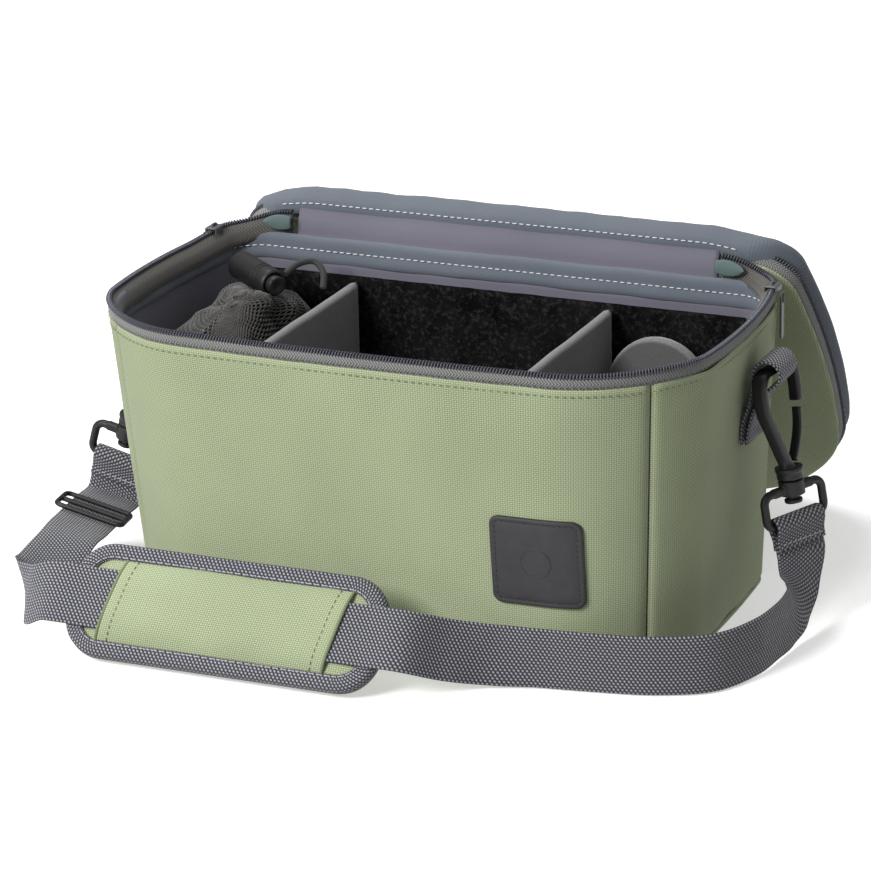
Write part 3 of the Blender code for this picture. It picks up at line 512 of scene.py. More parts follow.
def resampled_to(points, count):
    """This many points, evenly spaced along a run."""
    points = [Vector(p) for p in points]
    lengths = lengths_along(points)
    found, k = [], 0
    for i in range(count):
        want = lengths[-1] * i / (count - 1)
        while k < len(lengths) - 2 and lengths[k + 1] < want:
            k += 1
        span = max(lengths[k + 1] - lengths[k], 1e-9)
        found.append(points[k].lerp(points[k + 1], (want - lengths[k]) / span))
    return found


def resampled(points, step):
    """Points this far apart along a run."""
    points = [Vector(p) for p in points]
    return resampled_to(points, max(int(lengths_along(points)[-1] / step), 2) + 1)


def stitches(name, runs, material, body, length=STITCH_LENGTH, gap=STITCH_GAP, radius=STITCH_RADIUS):
    """Rows of sewn stitches: short sunk-ended beads of thread along each run."""
    mesh = bmesh.new()
    profile = ((0.0, 0.35), (0.16, 0.85), (0.5, 1.0), (0.84, 0.85), (1.0, 0.35))
    for run in runs:
        spots = resampled(run, (length + gap) / 2)
        for i in range(0, len(spots) - 1, 2):
            start = spots[i]
            along = (spots[i + 1] - start).normalized()
            side = along.orthogonal().normalized()
            other = along.cross(side)
            rings = []
            for share, width in profile:
                centre = start + along * (length * share)
                rings.append([
                    mesh.verts.new(centre + (side * math.cos(a) + other * math.sin(a)) * radius * width)
                    for a in (math.tau * k / 6 for k in range(6))
                ])
            for one, two in zip(rings, rings[1:]):
                for k in range(6):
                    mesh.faces.new((one[k], one[(k + 1) % 6], two[(k + 1) % 6], two[k]))
            mesh.faces.new(rings[0][::-1])
            mesh.faces.new(rings[-1])
    obj = finish_mesh(mesh, name, material)
    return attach(obj, body)


def tube(name, points, radius, material, sides=8, cyclic=False):
    """A round bar or cord along points."""
    curve = bpy.data.curves.new(name, "CURVE")
    curve.dimensions = "3D"
    curve.bevel_depth = radius
    curve.bevel_resolution = max(sides // 2 - 2, 1)
    curve.use_fill_caps = not cyclic
    run = curve.splines.new("POLY")
    run.points.add(len(points) - 1)
    for spot, point in zip(run.points, points):
        spot.co = (*point, 1.0)
    run.use_cyclic_u = cyclic
    return dressed(linked(name, curve), material)


def to_mesh(obj):
    """A curve or a modified object as a plain mesh object."""
    bpy.context.view_layer.update()
    data = bpy.data.meshes.new_from_object(obj.evaluated_get(bpy.context.evaluated_depsgraph_get()))
    name, place = obj.name, obj.matrix_world.copy()
    bpy.data.objects.remove(obj, do_unlink=True)
    made = linked(name, data)
    made.matrix_world = place
    return made


def moulded(name, pieces, material, voxel=0.00045, smoothing=6):
    """Overlapping solids melted into one moulded body with soft inner corners."""
    mesh = bmesh.new()
    for piece in pieces:
        piece = to_mesh(piece)
        piece.data.transform(piece.matrix_world)
        mesh.from_mesh(piece.data)
        bpy.data.objects.remove(piece, do_unlink=True)
    obj = finish_mesh(mesh, name, material)
    remesh = obj.modifiers.new("melt", "REMESH")
    remesh.mode = "VOXEL"
    remesh.voxel_size = voxel
    remesh.use_smooth_shade = True
    soften = obj.modifiers.new("soften", "SMOOTH")
    soften.factor = 0.5
    soften.iterations = smoothing
    obj = to_mesh(obj)
    obj.data.shade_smooth()
    return dressed(obj, material)


def rod(name, start, end, radius, sides=32):
    start, end = Vector(start), Vector(end)
    mesh = bmesh.new()
    bmesh.ops.create_cone(
        mesh, cap_ends=True, segments=sides, radius1=radius, radius2=radius, depth=(end - start).length
    )
    turn = (end - start).to_track_quat("Z", "Y").to_matrix().to_4x4()
    mesh.transform(Matrix.Translation((start + end) / 2) @ turn)
    return finish_mesh(mesh, name, "plastic", smooth=False)


def block(name, low, high, material="plastic", bevel=0.0, segments=3):
    low, high = Vector(low), Vector(high)
    mesh = bmesh.new()
    bmesh.ops.create_cube(mesh, size=1.0)
    bmesh.ops.scale(mesh, vec=high - low, verts=mesh.verts)
    bmesh.ops.translate(mesh, vec=(low + high) / 2, verts=mesh.verts)
    obj = finish_mesh(mesh, name, material, smooth=False)
    if bevel:
        rounding = obj.modifiers.new("rounding", "BEVEL")
        rounding.width = bevel
        rounding.segments = segments
    return obj


def ribbon(name, stations, width, thickness, material, crown=0.0002):
    """Webbing through stations of (centre, width direction), with rounded edges and a fuller middle."""
    across_shares = (-1.0, -0.985, -0.93, -0.6, -0.2, 0.2, 0.6, 0.93, 0.985, 1.0)
    heights = (0.25, 0.62, 0.92, 1.0, 1.0, 1.0, 1.0, 0.92, 0.62, 0.25)
    mesh = bmesh.new()
    layer = mesh.loops.layers.uv.new("metres")
    rings, lengths = [], [0.0]
    for i, (centre, across) in enumerate(stations):
        centre, across = Vector(centre), Vector(across).normalized()
        before = Vector(stations[max(i - 1, 0)][0])
        after = Vector(stations[min(i + 1, len(stations) - 1)][0])
        along = (after - before).normalized()
        across = (across - along * across.dot(along)).normalized()
        normal = along.cross(across)
        if i:
            lengths.append(lengths[-1] + (centre - Vector(stations[i - 1][0])).length)
        ring = []
        for face in (1, -1):
            shares = across_shares if face > 0 else across_shares[::-1]
            for share, height in zip(shares, heights):
                lift = face * (thickness / 2 * height + crown * (height - 0.9))
                ring.append((mesh.verts.new(centre + across * (width / 2 * share) + normal * lift), share))
        rings.append(ring)
    count = len(rings[0])
    for i in range(len(rings) - 1):
        for j in range(count):
            k = (j + 1) % count
            corners = (rings[i][j], rings[i][k], rings[i + 1][k], rings[i + 1][j])
            face = mesh.faces.new([vert for vert, _ in corners])
            spots = (lengths[i], lengths[i], lengths[i + 1], lengths[i + 1])
            for loop, spot, (_, share) in zip(face.loops, spots, corners):
                loop[layer].uv = (spot, share * width / 2)
    mesh.faces.new([vert for vert, _ in rings[0]][::-1])
    mesh.faces.new([vert for vert, _ in rings[-1]])
    bmesh.ops.recalc_face_normals(mesh, faces=mesh.faces)
    return finish_mesh(mesh, name, material)


def matrix_of(x_axis, y_axis, z_axis, origin):
    """The placing that turns the world's axes to these and moves its origin here."""
    return Matrix((
        (x_axis.x, y_axis.x, z_axis.x, origin.x), (x_axis.y, y_axis.y, z_axis.y, origin.y),
        (x_axis.z, y_axis.z, z_axis.z, origin.z), (0, 0, 0, 1),
    ))


def between(a, b, knot_a, knot_b, t):
    """A point on the line through two others, by its place between their knots."""
    return a + (b - a) * ((t - knot_a) / (knot_b - knot_a))


def straight(start, end, steps):
    """The points between two (x, y) points, leaving both out."""
    return [tuple(mix(a, b, t / steps) for a, b in zip(start, end)) for t in range(1, steps)]


def rounded_rectangle(half_x, half_y, radius, corner_steps, straight_steps=1):
    """A rounded rectangle about the origin, anticlockwise, as (x, y) pairs."""
    arcs = []
    for sx, sy, start in ((1, 1, 0), (-1, 1, 90), (-1, -1, 180), (1, -1, 270)):
        arc = []
        for step in range(corner_steps + 1):
            a = math.radians(start + 90 * step / corner_steps)
            x, y = sx * (half_x - radius), sy * (half_y - radius)
            arc.append((x + radius * math.cos(a), y + radius * math.sin(a)))
        arcs.append(arc)
    loop = []
    for arc, following in zip(arcs, arcs[1:] + arcs[:1]):
        loop += arc
        loop += straight(arc[-1], following[0], straight_steps)
    return loop


def smooth_stations(route, steps):
    """Stations on a smooth curve (a centripetal Catmull-Rom) through (point, width direction) pairs."""
    points = [Vector(p) for p, _ in route]
    widths = [Vector(w).normalized() for _, w in route]
    points = [2 * points[0] - points[1]] + points + [2 * points[-1] - points[-2]]
    found = []
    for i in range(len(route) - 1):
        near = points[i:i + 4]
        knots = [0.0]
        for one, two in zip(near, near[1:]):
            knots.append(knots[-1] + math.sqrt((two - one).length))
        for step in range(steps):
            t = mix(knots[1], knots[2], step / steps)
            lower = [between(near[k], near[k + 1], knots[k], knots[k + 1], t) for k in range(3)]
            upper = [between(lower[k], lower[k + 1], knots[k], knots[k + 2], t) for k in range(2)]
            spot = between(upper[0], upper[1], knots[1], knots[2], t)
            share = step / steps
            found.append((spot, widths[i].lerp(widths[i + 1], share * share * (3 - 2 * share))))
    found.append((points[-2], widths[-1]))
    return found


# ---------------------------------------------------------------- the bag's plan outline


def side_points(side, z, inset, corner_steps=14, straight_steps=44):
    """One side of the bag's outline at height z, from seam to seam, anticlockwise from above."""
    rise = min(max(z / SEAM_Z, 0.0), 1.05)
    half_w = mix(BASE_WIDTH, RIM_WIDTH, rise) / 2 - inset
    half_d = mix(BASE_DEPTH, RIM_DEPTH, rise) / 2 - inset
    radii = [max(r - inset, 0.004) for r in (FRONT_RADIUS, FRONT_RADIUS, REAR_RADIUS, REAR_RADIUS)]
    signs = ((-1, -1), (1, -1), (1, 1), (-1, 1))
    first = {"front": 0, "right": 1, "rear": 2, "left": 3}[side]
    second = (first + 1) % 4

    def arc(corner, start_deg, end_deg):
        radius, (sx, sy) = radii[corner], signs[corner]
        cx, cy = sx * (half_w - radius), sy * (half_d - radius)
        for step in range(corner_steps + 1):
            a = math.radians(mix(start_deg, end_deg, step / corner_steps))
            yield cx + radius * math.cos(a), cy + radius * math.sin(a)

    seam_deg = (270 - FRONT_SEAM_TURN_DEG, 270 + FRONT_SEAM_TURN_DEG, 405, 495)
    middle_deg = 225 + 90 * first
    end_deg = seam_deg[second] if second else seam_deg[0] + 360
    points = list(arc(first, seam_deg[first], middle_deg + 45))
    following = list(arc(second, middle_deg + 45, end_deg))
    points += straight(points[-1], following[0], straight_steps) + following
    front_bow = mix(BASE_FRONT_BOW, RIM_FRONT_BOW, rise)
    end_bow = mix(BASE_END_BOW, RIM_END_BOW, rise)
    shift = RIM_SHIFT_Y * rise
    bowed = []
    for x, y in points:
        frontness = min(max(-y / half_d, 0.0), 1.0)
        endness = min(abs(x) / half_w, 1.0) ** 6
        out_y = front_bow * max(1 - (x / half_w) ** 2, 0.0) * frontness
        out_x = end_bow * max(1 - (y / half_d) ** 2, 0.0) * endness
        bowed.append((x + math.copysign(out_x, x), y - out_y + shift))
    return bowed


def outline(z, inset):
    """The whole outline at height z, this far in from the canvas."""
    loop = []
    for side in ("front", "right", "rear", "left"):
        loop += side_points(side, z, inset)[:-1]
    return loop


def zip_run(z, inset):
    """The zip's course: from its end behind the left corner, round the left end, front and right end."""
    rear = side_points("rear", z, inset)
    run = [p for p in rear if p[0] < -ZIP_END_X][:-1] + side_points("left", z, inset)[:-1]
    run += side_points("front", z, inset)[:-1] + side_points("right", z, inset)[:-1]
    return run + [p for p in rear if p[0] > ZIP_END_X]


def zip_rise(x, y):
    """How much the open mouth's edge lifts towards the zip's ends."""
    return 0.0030 * smooth((y - 0.030) / 0.050) + 0.0060 * zip_tail(x, y)


def zip_tail(x, y):
    """0 along the zip's sides, growing to 1 at its ends behind the rear corners."""
    return smooth((0.147 - abs(x)) / 0.028) if y > REAR_Y - 0.012 else 0.0


def smooth(share):
    """A share held between 0 and 1, easing in and out."""
    share = min(max(share, 0.0), 1.0)
    return share * share * (3 - 2 * share)


def raised(points, lift=1.0):
    """Points of the open mouth's edge, with its lift towards the zip's ends."""
    return [(x, y, z + lift * zip_rise(x, y)) for x, y, z in points]


def wall_y(side, x, z, inset):
    """Y of the front or rear wall at this x and height."""
    points = sorted(side_points(side, z, inset))
    for (ax, ay), (bx, by) in zip(points, points[1:]):
        if ax <= x <= bx:
            return mix(ay, by, (x - ax) / max(bx - ax, 1e-9))
    return points[0][1]


# ---------------------------------------------------------------- canvas walls and base


def canvas_wall(side, name, node):
    """A canvas wall whose edges turn in at its seams, slightly uneven as sewn cloth is."""
    rows = []
    heights = [BASE_TOP_Z + rise for rise in (0.0004, 0.0010, 0.0022)]
    heights += levels(BASE_TOP_Z + 0.004, SEAM_Z - 0.003, 46)
    heights += [SEAM_Z - drop for drop in (0.0016, 0.0007, 0.0002)]
    for z in heights:
        low_fold = 0.0011 * max(1 - (z - BASE_TOP_Z) / 0.0022, 0.0) ** 2
        fold = low_fold + 0.0012 * max(1 - (SEAM_Z - z) / 0.0016, 0.0) ** 2
        run = [Vector((x, y, z)) for x, y in side_points(side, z, fold)]
        inner = [Vector((x, y, z)) for x, y in side_points(side, z, fold + 0.01)]
        lengths = lengths_along(run)
        row = []
        for point, within, at in zip(run, inner, lengths):
            inward = (within - point).normalized()
            edge = min(at, lengths[-1] - at)
            turn = 0.0013 * max(1 - edge / 0.0022, 0.0) ** 2
            away = 1 - math.exp(-edge / 0.02)
            soft = (0.0006 + wobble(point, 0.055, 0.0009, 3.0) + wobble(point, 0.018, 0.0003, 9.0)) * away
            if side in ("left", "right"):
                soft += 0.0022 * away * noise.noise(Vector((point.y * 34, point.z * 11 + point.y * 9, 7.0)))
            gather = 0.00025 * math.sin(at / 0.0042) * max(1 - (SEAM_Z - z) / 0.012, 0.0)
            row.append(point + inward * (turn - soft * 0.6 - gather))
        row[0] += (row[1] - row[0]).normalized() * 0.0003
        row[-1] += (row[-2] - row[-1]).normalized() * 0.0003
        rows.append(row)
    wall = grid(name, rows, "canvas", PANEL_THICKNESS)
    fitted(wall, "bag", "sage_canvas", node)
    return wall


def base_loop(inset):
    return outline(0.0, inset)


def build_walls():
    for side, panel in (("front", "front"), ("right", "right_end"), ("rear", "rear"), ("left", "left_end")):
        canvas_wall(side, panel + "_canvas", panel + "_panel")
    seam_z = SEAM_Z - 0.0035
    run = []
    for side in ("left", "front", "right", "rear"):
        run += [(x, y, seam_z) for x, y in side_points(side, seam_z, -0.0006)][:-1]
    stitches("rim_seam_stitches", [run], "green_thread", "bag", 0.0020, 0.0016, 0.00026)
    insets = (0.0008, 0.0004, 0.0, 0.0, 0.002, 0.02, 0.05)
    base = flat_sheet("base_canvas", base_loop, insets, lambda x, y: 0.0, "canvas")
    set_rings(base, len(base_loop(0.0)), (0.0026, 0.0020, 0.0012, 0.0004, 0.0, 0.0, 0.0))
    top = flat_sheet("base_inner_face", base_loop, (0.0010, 0.02, 0.05), lambda x, y: 0.0026, "canvas")
    fitted(base, "bag", "sage_canvas", "base_panel")
    fitted(top, "bag", "sage_canvas")


# ---------------------------------------------------------------- lining


LOOP_HEIGHTS = (0.014, 0.1375)


def build_inner_cloth():
    """The smooth lining of the floor and the walls."""
    floor = flat_sheet(
        "floor_cloth", base_loop, (INNER_INSET + 0.001, 0.02, 0.05),
        lambda x, y: FLOOR_Z - 0.0005 + wobble((x, y, 0), 0.04, 0.0004), "lining", 0.0008,
    )
    fitted(floor, "bag", "mauve_lining", "floor_lining")
    rows = []
    for z in levels(FLOOR_Z + 0.0004, FACING_LOW_Z + 0.003, 30):
        rows.append([
            (x, y, z + wobble((x, y, z), 0.05, 0.0004))
            for x, y in outline(z, INNER_INSET + 0.0006 + wobble((0, 0, z), 0.03, 0.0002))
        ])
    wall = grid("wall_cloth", rows, "lining", 0.0008, closed=True)
    fitted(wall, "bag", "mauve_lining", "wall_lining")


def build_mouth_facing():
    """The padded band round the mouth, with its row of white stitches."""
    profile = (
        (FACING_LOW_Z - 0.0002, 0.0040), (FACING_LOW_Z + 0.0002, 0.0052), (FACING_LOW_Z + 0.0012, 0.0060),
        (FACING_LOW_Z + 0.0030, 0.0064), (FACING_LOW_Z + 0.0048, 0.0062),
        (RIM_Z - 0.0105, 0.0056), (RIM_Z - 0.0100, 0.0054), (RIM_Z - 0.0088, 0.0056),
        (RIM_Z - 0.0060, 0.0057), (RIM_Z - 0.0040, 0.0052), (RIM_Z - 0.0030, 0.0044), (RIM_Z - 0.0028, 0.0034),
    )
    rows = []
    for z, inset in profile:
        row = []
        for x, y in outline(z, inset):
            scale = 1 + wobble((x, y, z), 0.016, 0.0009, 5.0) / 0.1
            y_out = (y - RIM_SHIFT_Y) * scale + RIM_SHIFT_Y
            row.append((x * scale, y_out, z + wobble((x, y, z), 0.03, 0.0005)))
        rows.append(row)
    facing = grid("mouth_facing", rows, "facing", closed=True)
    fitted(facing, "bag", "blue_grey_facing", "rim_facing")
    run = [(x, y, RIM_Z - 0.0098) for x, y in outline(RIM_Z - 0.0098, 0.0060)]
    stitches("mouth_facing_stitches", [run + run[:1]], "white_thread", "bag")


def build_loop_piles():
    """The tufted loop panels inside the front and the rear, which hold the dividers."""
    for side, out in (("front", 1), ("rear", -1)):
        rows = []
        for z in levels(*LOOP_HEIGHTS, 34):
            row = []
            for x, y in side_points(side, z, INNER_INSET + 0.0016)[10:-10]:
                tuft = wobble((x, y, z), 0.0016, 0.0005, 7.0) + wobble((x, y, z), 0.0045, 0.0004, 2.0)
                row.append((x, y + (tuft + 0.0004) * out, z))
            rows.append(row)
        pile = grid(side + "_loop_pile", rows, "loop", 0.0012)
        fitted(pile, "bag", "loop_felt", side + "_loop_panel")


# ---------------------------------------------------------------- zip


COIL_HALF_WIDTH, COIL_HALF_HEIGHT, COIL_PITCH = 0.00135, 0.00115, 0.00155
COIL_STEPS = 8


def coil(name, path, body, node, at=Matrix()):
    """The zip's coil: a helix of nylon along the tape's edge, round its filler cord."""
    points = []
    for i, (centre, along) in enumerate(frames_along(resampled(path, COIL_PITCH / COIL_STEPS))):
        side = along.cross(Vector((0, 0, 1))).normalized()
        a = math.tau * i / COIL_STEPS
        up = Vector((0, 0, COIL_HALF_HEIGHT * math.sin(a)))
        points.append(at @ (centre + side * (COIL_HALF_WIDTH * math.cos(a)) + up))
    core = [at @ p for p in resampled(path, 0.004)]
    fitted(to_mesh(tube(name + "_core", core, 0.0008, "inner_tape", sides=6)), body, "zip_coil")
    turns = to_mesh(tube(name, points, 0.00042, "coil", sides=6))
    turns.data.shade_smooth()
    fitted(turns, body, "zip_coil", node)


def build_body_zip():
    profile = (
        (SEAM_Z - 0.0014, 0.0016, 0.0), (SEAM_Z - 0.0002, 0.0008, 0.0), (SEAM_Z + 0.0016, 0.0002, 0.2),
        (SEAM_Z + 0.0034, 0.0002, 0.6), (SEAM_Z + 0.0048, 0.0005, 0.9), (RIM_Z - 0.0016, 0.0006, 1.0),
        (RIM_Z - 0.0010, 0.0008, 1.0), (RIM_Z - 0.0008, 0.0014, 1.0),
    )
    count = len(zip_run(SEAM_Z, 0.0010))
    rows = []
    for z, inset, lift in profile:
        row = resampled_to(raised([(x, y, z) for x, y in zip_run(z, inset)], lift), count)
        rows.append([p + Vector((0, 0, wobble(p, 0.03, 0.0002))) for p in row])
    outer = grid("body_tape", rows, "tape", 0.0004)
    fitted(outer, "bag", "zip_tape", "body_zip_tape")
    profile = (
        (RIM_Z - 0.0010, 0.0014), (RIM_Z - 0.0014, 0.0026), (RIM_Z - 0.0030, 0.0044),
        (RIM_Z - 0.0050, 0.0060), (RIM_Z - 0.0085, 0.0066), (RIM_Z - 0.0112, 0.0070), (RIM_Z - 0.0116, 0.0060),
    )
    rows = []
    for z, inset in profile:
        row = [(x, y + (inset - 0.0014) * 0.7 * zip_tail(x, y), z) for x, y in zip_run(z, inset)]
        rows.append(resampled_to(raised(row), count))
    fitted(grid("body_tape_inside", rows, "inner_tape", 0.0003), "bag", "zip_tape")
    path = raised([(x, y, RIM_Z - 0.0006) for x, y in zip_run(RIM_Z, 0.0014)])
    coil("body_coil", path, "bag", "body_zip_teeth")
    seam = [(x, y, SEAM_Z + 0.0010) for x, y in zip_run(SEAM_Z, -0.0003)]
    stitches("body_tape_stitches", [seam], "dark_thread", "bag", 0.0018, 0.0014, 0.00020)


def build_sliders():
    """Low rounded sliders over the coil, each with a hook-over bridge and a slim pull hanging outside."""
    for name in ("left", "right"):
        low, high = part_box(name + "_zip_slider")
        x, y, _ = (low + high) / 2
        top = high.z - 0.0002 + zip_rise(0, y)
        corners = (x - 0.0030, y - 0.0046, top - 0.0012), (x + 0.0030, y + 0.0046, top)
        shell = block("shell", *corners, "metal", 0.0005, 3)
        skirts = []
        for edge in (x - 0.0029, x + 0.0029):
            corners = (edge - 0.0005, y - 0.0042, top - 0.0034), (edge + 0.0005, y + 0.0042, top - 0.0004)
            skirts.append(block("skirt", *corners, "metal", 0.0003, 2))
        arch = [
            (x, y + 0.0032 * math.cos(a), top + 0.0013 * math.sin(a) - 0.0002)
            for a in (math.pi * k / 8 for k in range(9))
        ]
        bridge = tube("bridge", arch, 0.0006, "metal", sides=8)
        slider = moulded(name + "_slider_body", [shell, *skirts, bridge], "metal", 0.00022, 2)
        fitted(slider, name + "_slider", "dark_metal", name + "_zip_slider")
        low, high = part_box(name + "_zip_pull")
        x, y = (low.x + high.x) / 2, (low.y + high.y) / 2
        loop = []
        for k in range(17):
            a = math.pi * (0.5 - k / 16)
            loop.append((x, y + 0.0018 * math.sin(a), low.z + 0.0042 - 0.0018 * math.cos(a)))
        loop = [(x, y + 0.0018, high.z - 0.001)] + loop + [(x, y - 0.0018, high.z - 0.001)]
        outline_bar = tube("pull_bar", loop, 0.00065, "metal", sides=8, cyclic=True)
        plate = block(
            "plate", (x - 0.00045, y - 0.0016, low.z + 0.0030), (x + 0.00045, y + 0.0016, high.z - 0.006),
            "metal", 0.0003, 2,
        )
        pull = moulded(name + "_pull_tag", [outline_bar, plate], "metal", 0.00022, 2)
        fitted(pull, name + "_pull", "dark_metal", name + "_zip_pull")


# ---------------------------------------------------------------- lid


def lid_loop(inset):
    rear = REAR_Y - 0.0020 + max(-inset, 0.0)
    return [(x, min(y, rear)) for x, y in outline(RIM_Z, inset)]


def lid_piece(obj, slot, *nodes):
    """Turns a piece of the lid from its shut place to its open one."""
    obj.data.transform(OPEN)
    return fitted(obj, "lid", slot, *nodes)


def zip_rows(profile, count):
    """Rows of this many points along the zip's course, one for each (height, inset)."""
    return [resampled_to([(x, y, z) for x, y in zip_run(z, inset)], count) for z, inset in profile]


def build_lid():
    """The lid's pieces in their shut place, then turned open about the hinge line."""
    insets = (0.0026, 0.0014, 0.0007, 0.0005, 0.0009, 0.0020, 0.005, 0.012, 0.024, 0.04, 0.06, 0.075)
    drops = (0.0036, 0.0032, 0.0024, 0.0014, 0.0006, 0.0001)

    def outer_z(x, y):
        return LID_TOP_Z + wobble((x, y, 0), 0.06, 0.0012, 4.0)

    shell = flat_sheet("lid_canvas", lid_loop, insets, outer_z, "canvas")
    count = len(lid_loop(0.0))
    for i, vert in enumerate(shell.data.vertices[:count * len(drops)]):
        vert.co.z -= drops[i // count]
    lid_piece(shell, "sage_canvas", "lid_panel")

    count = len(zip_run(RIM_Z, 0.0010))
    profile = (
        (LID_TOP_Z - 0.0026, 0.0014), (LID_TOP_Z - 0.0042, 0.0006), (LID_TOP_Z - 0.0062, 0.0004),
        (RIM_Z + 0.0034, 0.0005), (RIM_Z + 0.0024, 0.0007), (RIM_Z + 0.0018, 0.0014),
    )
    lid_piece(grid("lid_tape", zip_rows(profile, count)[::-1], "tape", 0.0004), "zip_tape", "lid_zip_tape")
    profile = (
        (RIM_Z + 0.0018, 0.0014), (RIM_Z + 0.0014, 0.0022), (RIM_Z + 0.0012, 0.0036), (RIM_Z + 0.0014, 0.0056),
        (RIM_Z + 0.0020, 0.0074),
    )
    lid_piece(grid("lid_tape_inside", zip_rows(profile, count), "inner_tape", 0.0003), "zip_tape")
    path = [(x, y, RIM_Z + 0.0015) for x, y in zip_run(RIM_Z, 0.0008)]
    coil("lid_coil", path, "lid", "lid_zip_teeth", OPEN)
    build_lid_facing()


# The facing's fold over the hinge with the lid open, as (y, z) from the hinge cloth to the lid's lining
HINGE_ROLL = (
    (0.0850, 0.1660), (0.0842, 0.1682), (0.0838, 0.1708), (0.0846, 0.1738), (0.0868, 0.1763), (0.0902, 0.1778),
    (0.0945, 0.1781), (0.0990, 0.1770), (0.1030, 0.1744), (0.1062, 0.1700), (0.1082, 0.1630), (0.1092, 0.1540),
    (0.1095, 0.1440),
)


def build_lid_facing():
    """The padded facing round the lid's inside edge, fullest along the hinge, and the lining it frames."""
    section = (
        (0.0062, 0.0022), (0.0046, 0.0006), (0.0030, -0.0012), (0.0030, -0.0034), (0.0060, -0.0054),
        (0.0110, -0.0062),
        (0.0170, -0.0058), (0.0220, -0.0044), (0.0260, -0.0030), (0.0290, -0.0016), (0.0308, -0.0008),
        (0.0318, -0.0002), (0.0330, 0.0010),
    )
    shut = OPEN.inverted()
    rows = []
    outward = shut.to_3x3() @ Vector((0.5, 0, 1))
    for (inset, drop), (roll_y, roll_z) in zip(section, HINGE_ROLL):
        row = []
        for x, y in lid_loop(inset):
            share = smooth((y - (REAR_Y - 0.058)) / 0.030) * smooth((0.152 - abs(x)) / 0.026)
            puff = max(-drop, 0.0) / 0.006
            scale = 1 + 0.0062 * puff / 0.15
            uneven = wobble((x, y, 0), 0.02, 0.0008, 6.0) * puff
            flat = Vector((x * scale, y, RIM_Z + drop * (1.0 if drop > 0 else 1.9) + uneven))
            pucker = wobble((x, 0, roll_z), 0.012, 0.0007, 3.0)
            rolled = shut @ Vector((x, roll_y, roll_z + pucker - 0.004 * smooth((abs(x) - 0.105) / 0.04)))
            filling = 4 * share * (1 - share) * 0.0030 * min(puff, 1.0) if x > 0 else 0.0
            row.append(flat.lerp(rolled, share) + outward * filling)
        rows.append(row)
    facing = grid("lid_padded_facing", rows[::-1], "facing", closed=True)
    facing.data.flip_normals()
    lid_piece(facing, "blue_grey_facing", "lid_facing", "lid_padding")
    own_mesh(facing)
    sheet = flat_sheet(
        "lid_inner_cloth", lid_loop, (0.0318, 0.036, 0.05, 0.07),
        lambda x, y: RIM_Z + 0.0006 + wobble((x, y, 0), 0.05, 0.0012, 8.0), "lining",
    )
    sheet.data.flip_normals()
    lid_piece(sheet, "mauve_lining", "lid_lining")
    half = RIM_WIDTH / 2 - 0.024
    run = []
    for x in levels(-half, half, 80):
        drop = 0.004 * smooth((abs(x) - 0.105) / 0.04)
        run.append((x, 0.0834 + wobble((x, 0, 0), 0.05, 0.0002), 0.1722 - drop))
    stitches("lid_facing_stitches", [run], "white_thread", "lid")


def build_hinge():
    """The cloth hinge between the rear wall and the lid, and the folded tabs at the zip's ends."""
    half = RIM_WIDTH / 2 - 0.034
    profile = (
        (REAR_Y - 0.0030, SEAM_Z - 0.0010), (REAR_Y - 0.0014, SEAM_Z + 0.0026),
        (REAR_Y - 0.0006, RIM_Z + 0.0004), (REAR_Y + 0.0004, RIM_Z + 0.0040),
        (REAR_Y + 0.0018, RIM_Z + 0.0072), (REAR_Y + 0.0032, RIM_Z + 0.0098),
    )
    points = smooth_stations([((0, y, z), (1, 0, 0)) for y, z in profile], 5)
    rows = []
    for point, _ in points:
        rows.append([
            (x, point.y + wobble((x, 0, point.z), 0.03, 0.0007, 2.0), point.z) for x in levels(-half, half, 90)
        ])
    strip = grid("hinge_cloth", rows, "lining", 0.0008)
    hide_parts("hinge_strip")
    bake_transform(strip)
    for sign, name in ((-1, "left"), (1, "right")):
        build_zip_end(sign, name)


def build_zip_end(sign, name):
    """A tongue of teal tape sewn over the zip's end."""
    low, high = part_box(name + "_zip_end_tab")
    inner_x, outer_x = sorted((abs(low.x), abs(high.x)))
    middle_z, half_z = (low.z + high.z) / 2, (high.z - low.z) / 2 + 0.0006
    rows = []
    for share in levels(-1.0, 1.0, 13):
        row = []
        for k in levels(0.0, 1.0, 17):
            swell = math.sin(math.pi * min(0.20 + 0.80 * k, 1.0)) ** 0.55 if k < 1 else 0.0
            width = half_z * max(swell, 0.12)
            x = sign * mix(inner_x + 0.0004, outer_x - 0.0004, k)
            crown = 0.0009 * (1 - share * share)
            row.append((x, low.y - crown - 0.0030 - 0.0010 * k, middle_z + width * share - 0.0006 * k))
        rows.append(row if sign > 0 else row[::-1])
    tab = grid(name + "_end_tongue", rows, "tab", 0.0010)
    fitted(tab, "bag", "teal_tab", name + "_zip_end_tab")


# ---------------------------------------------------------------- dividers, pouch and patch


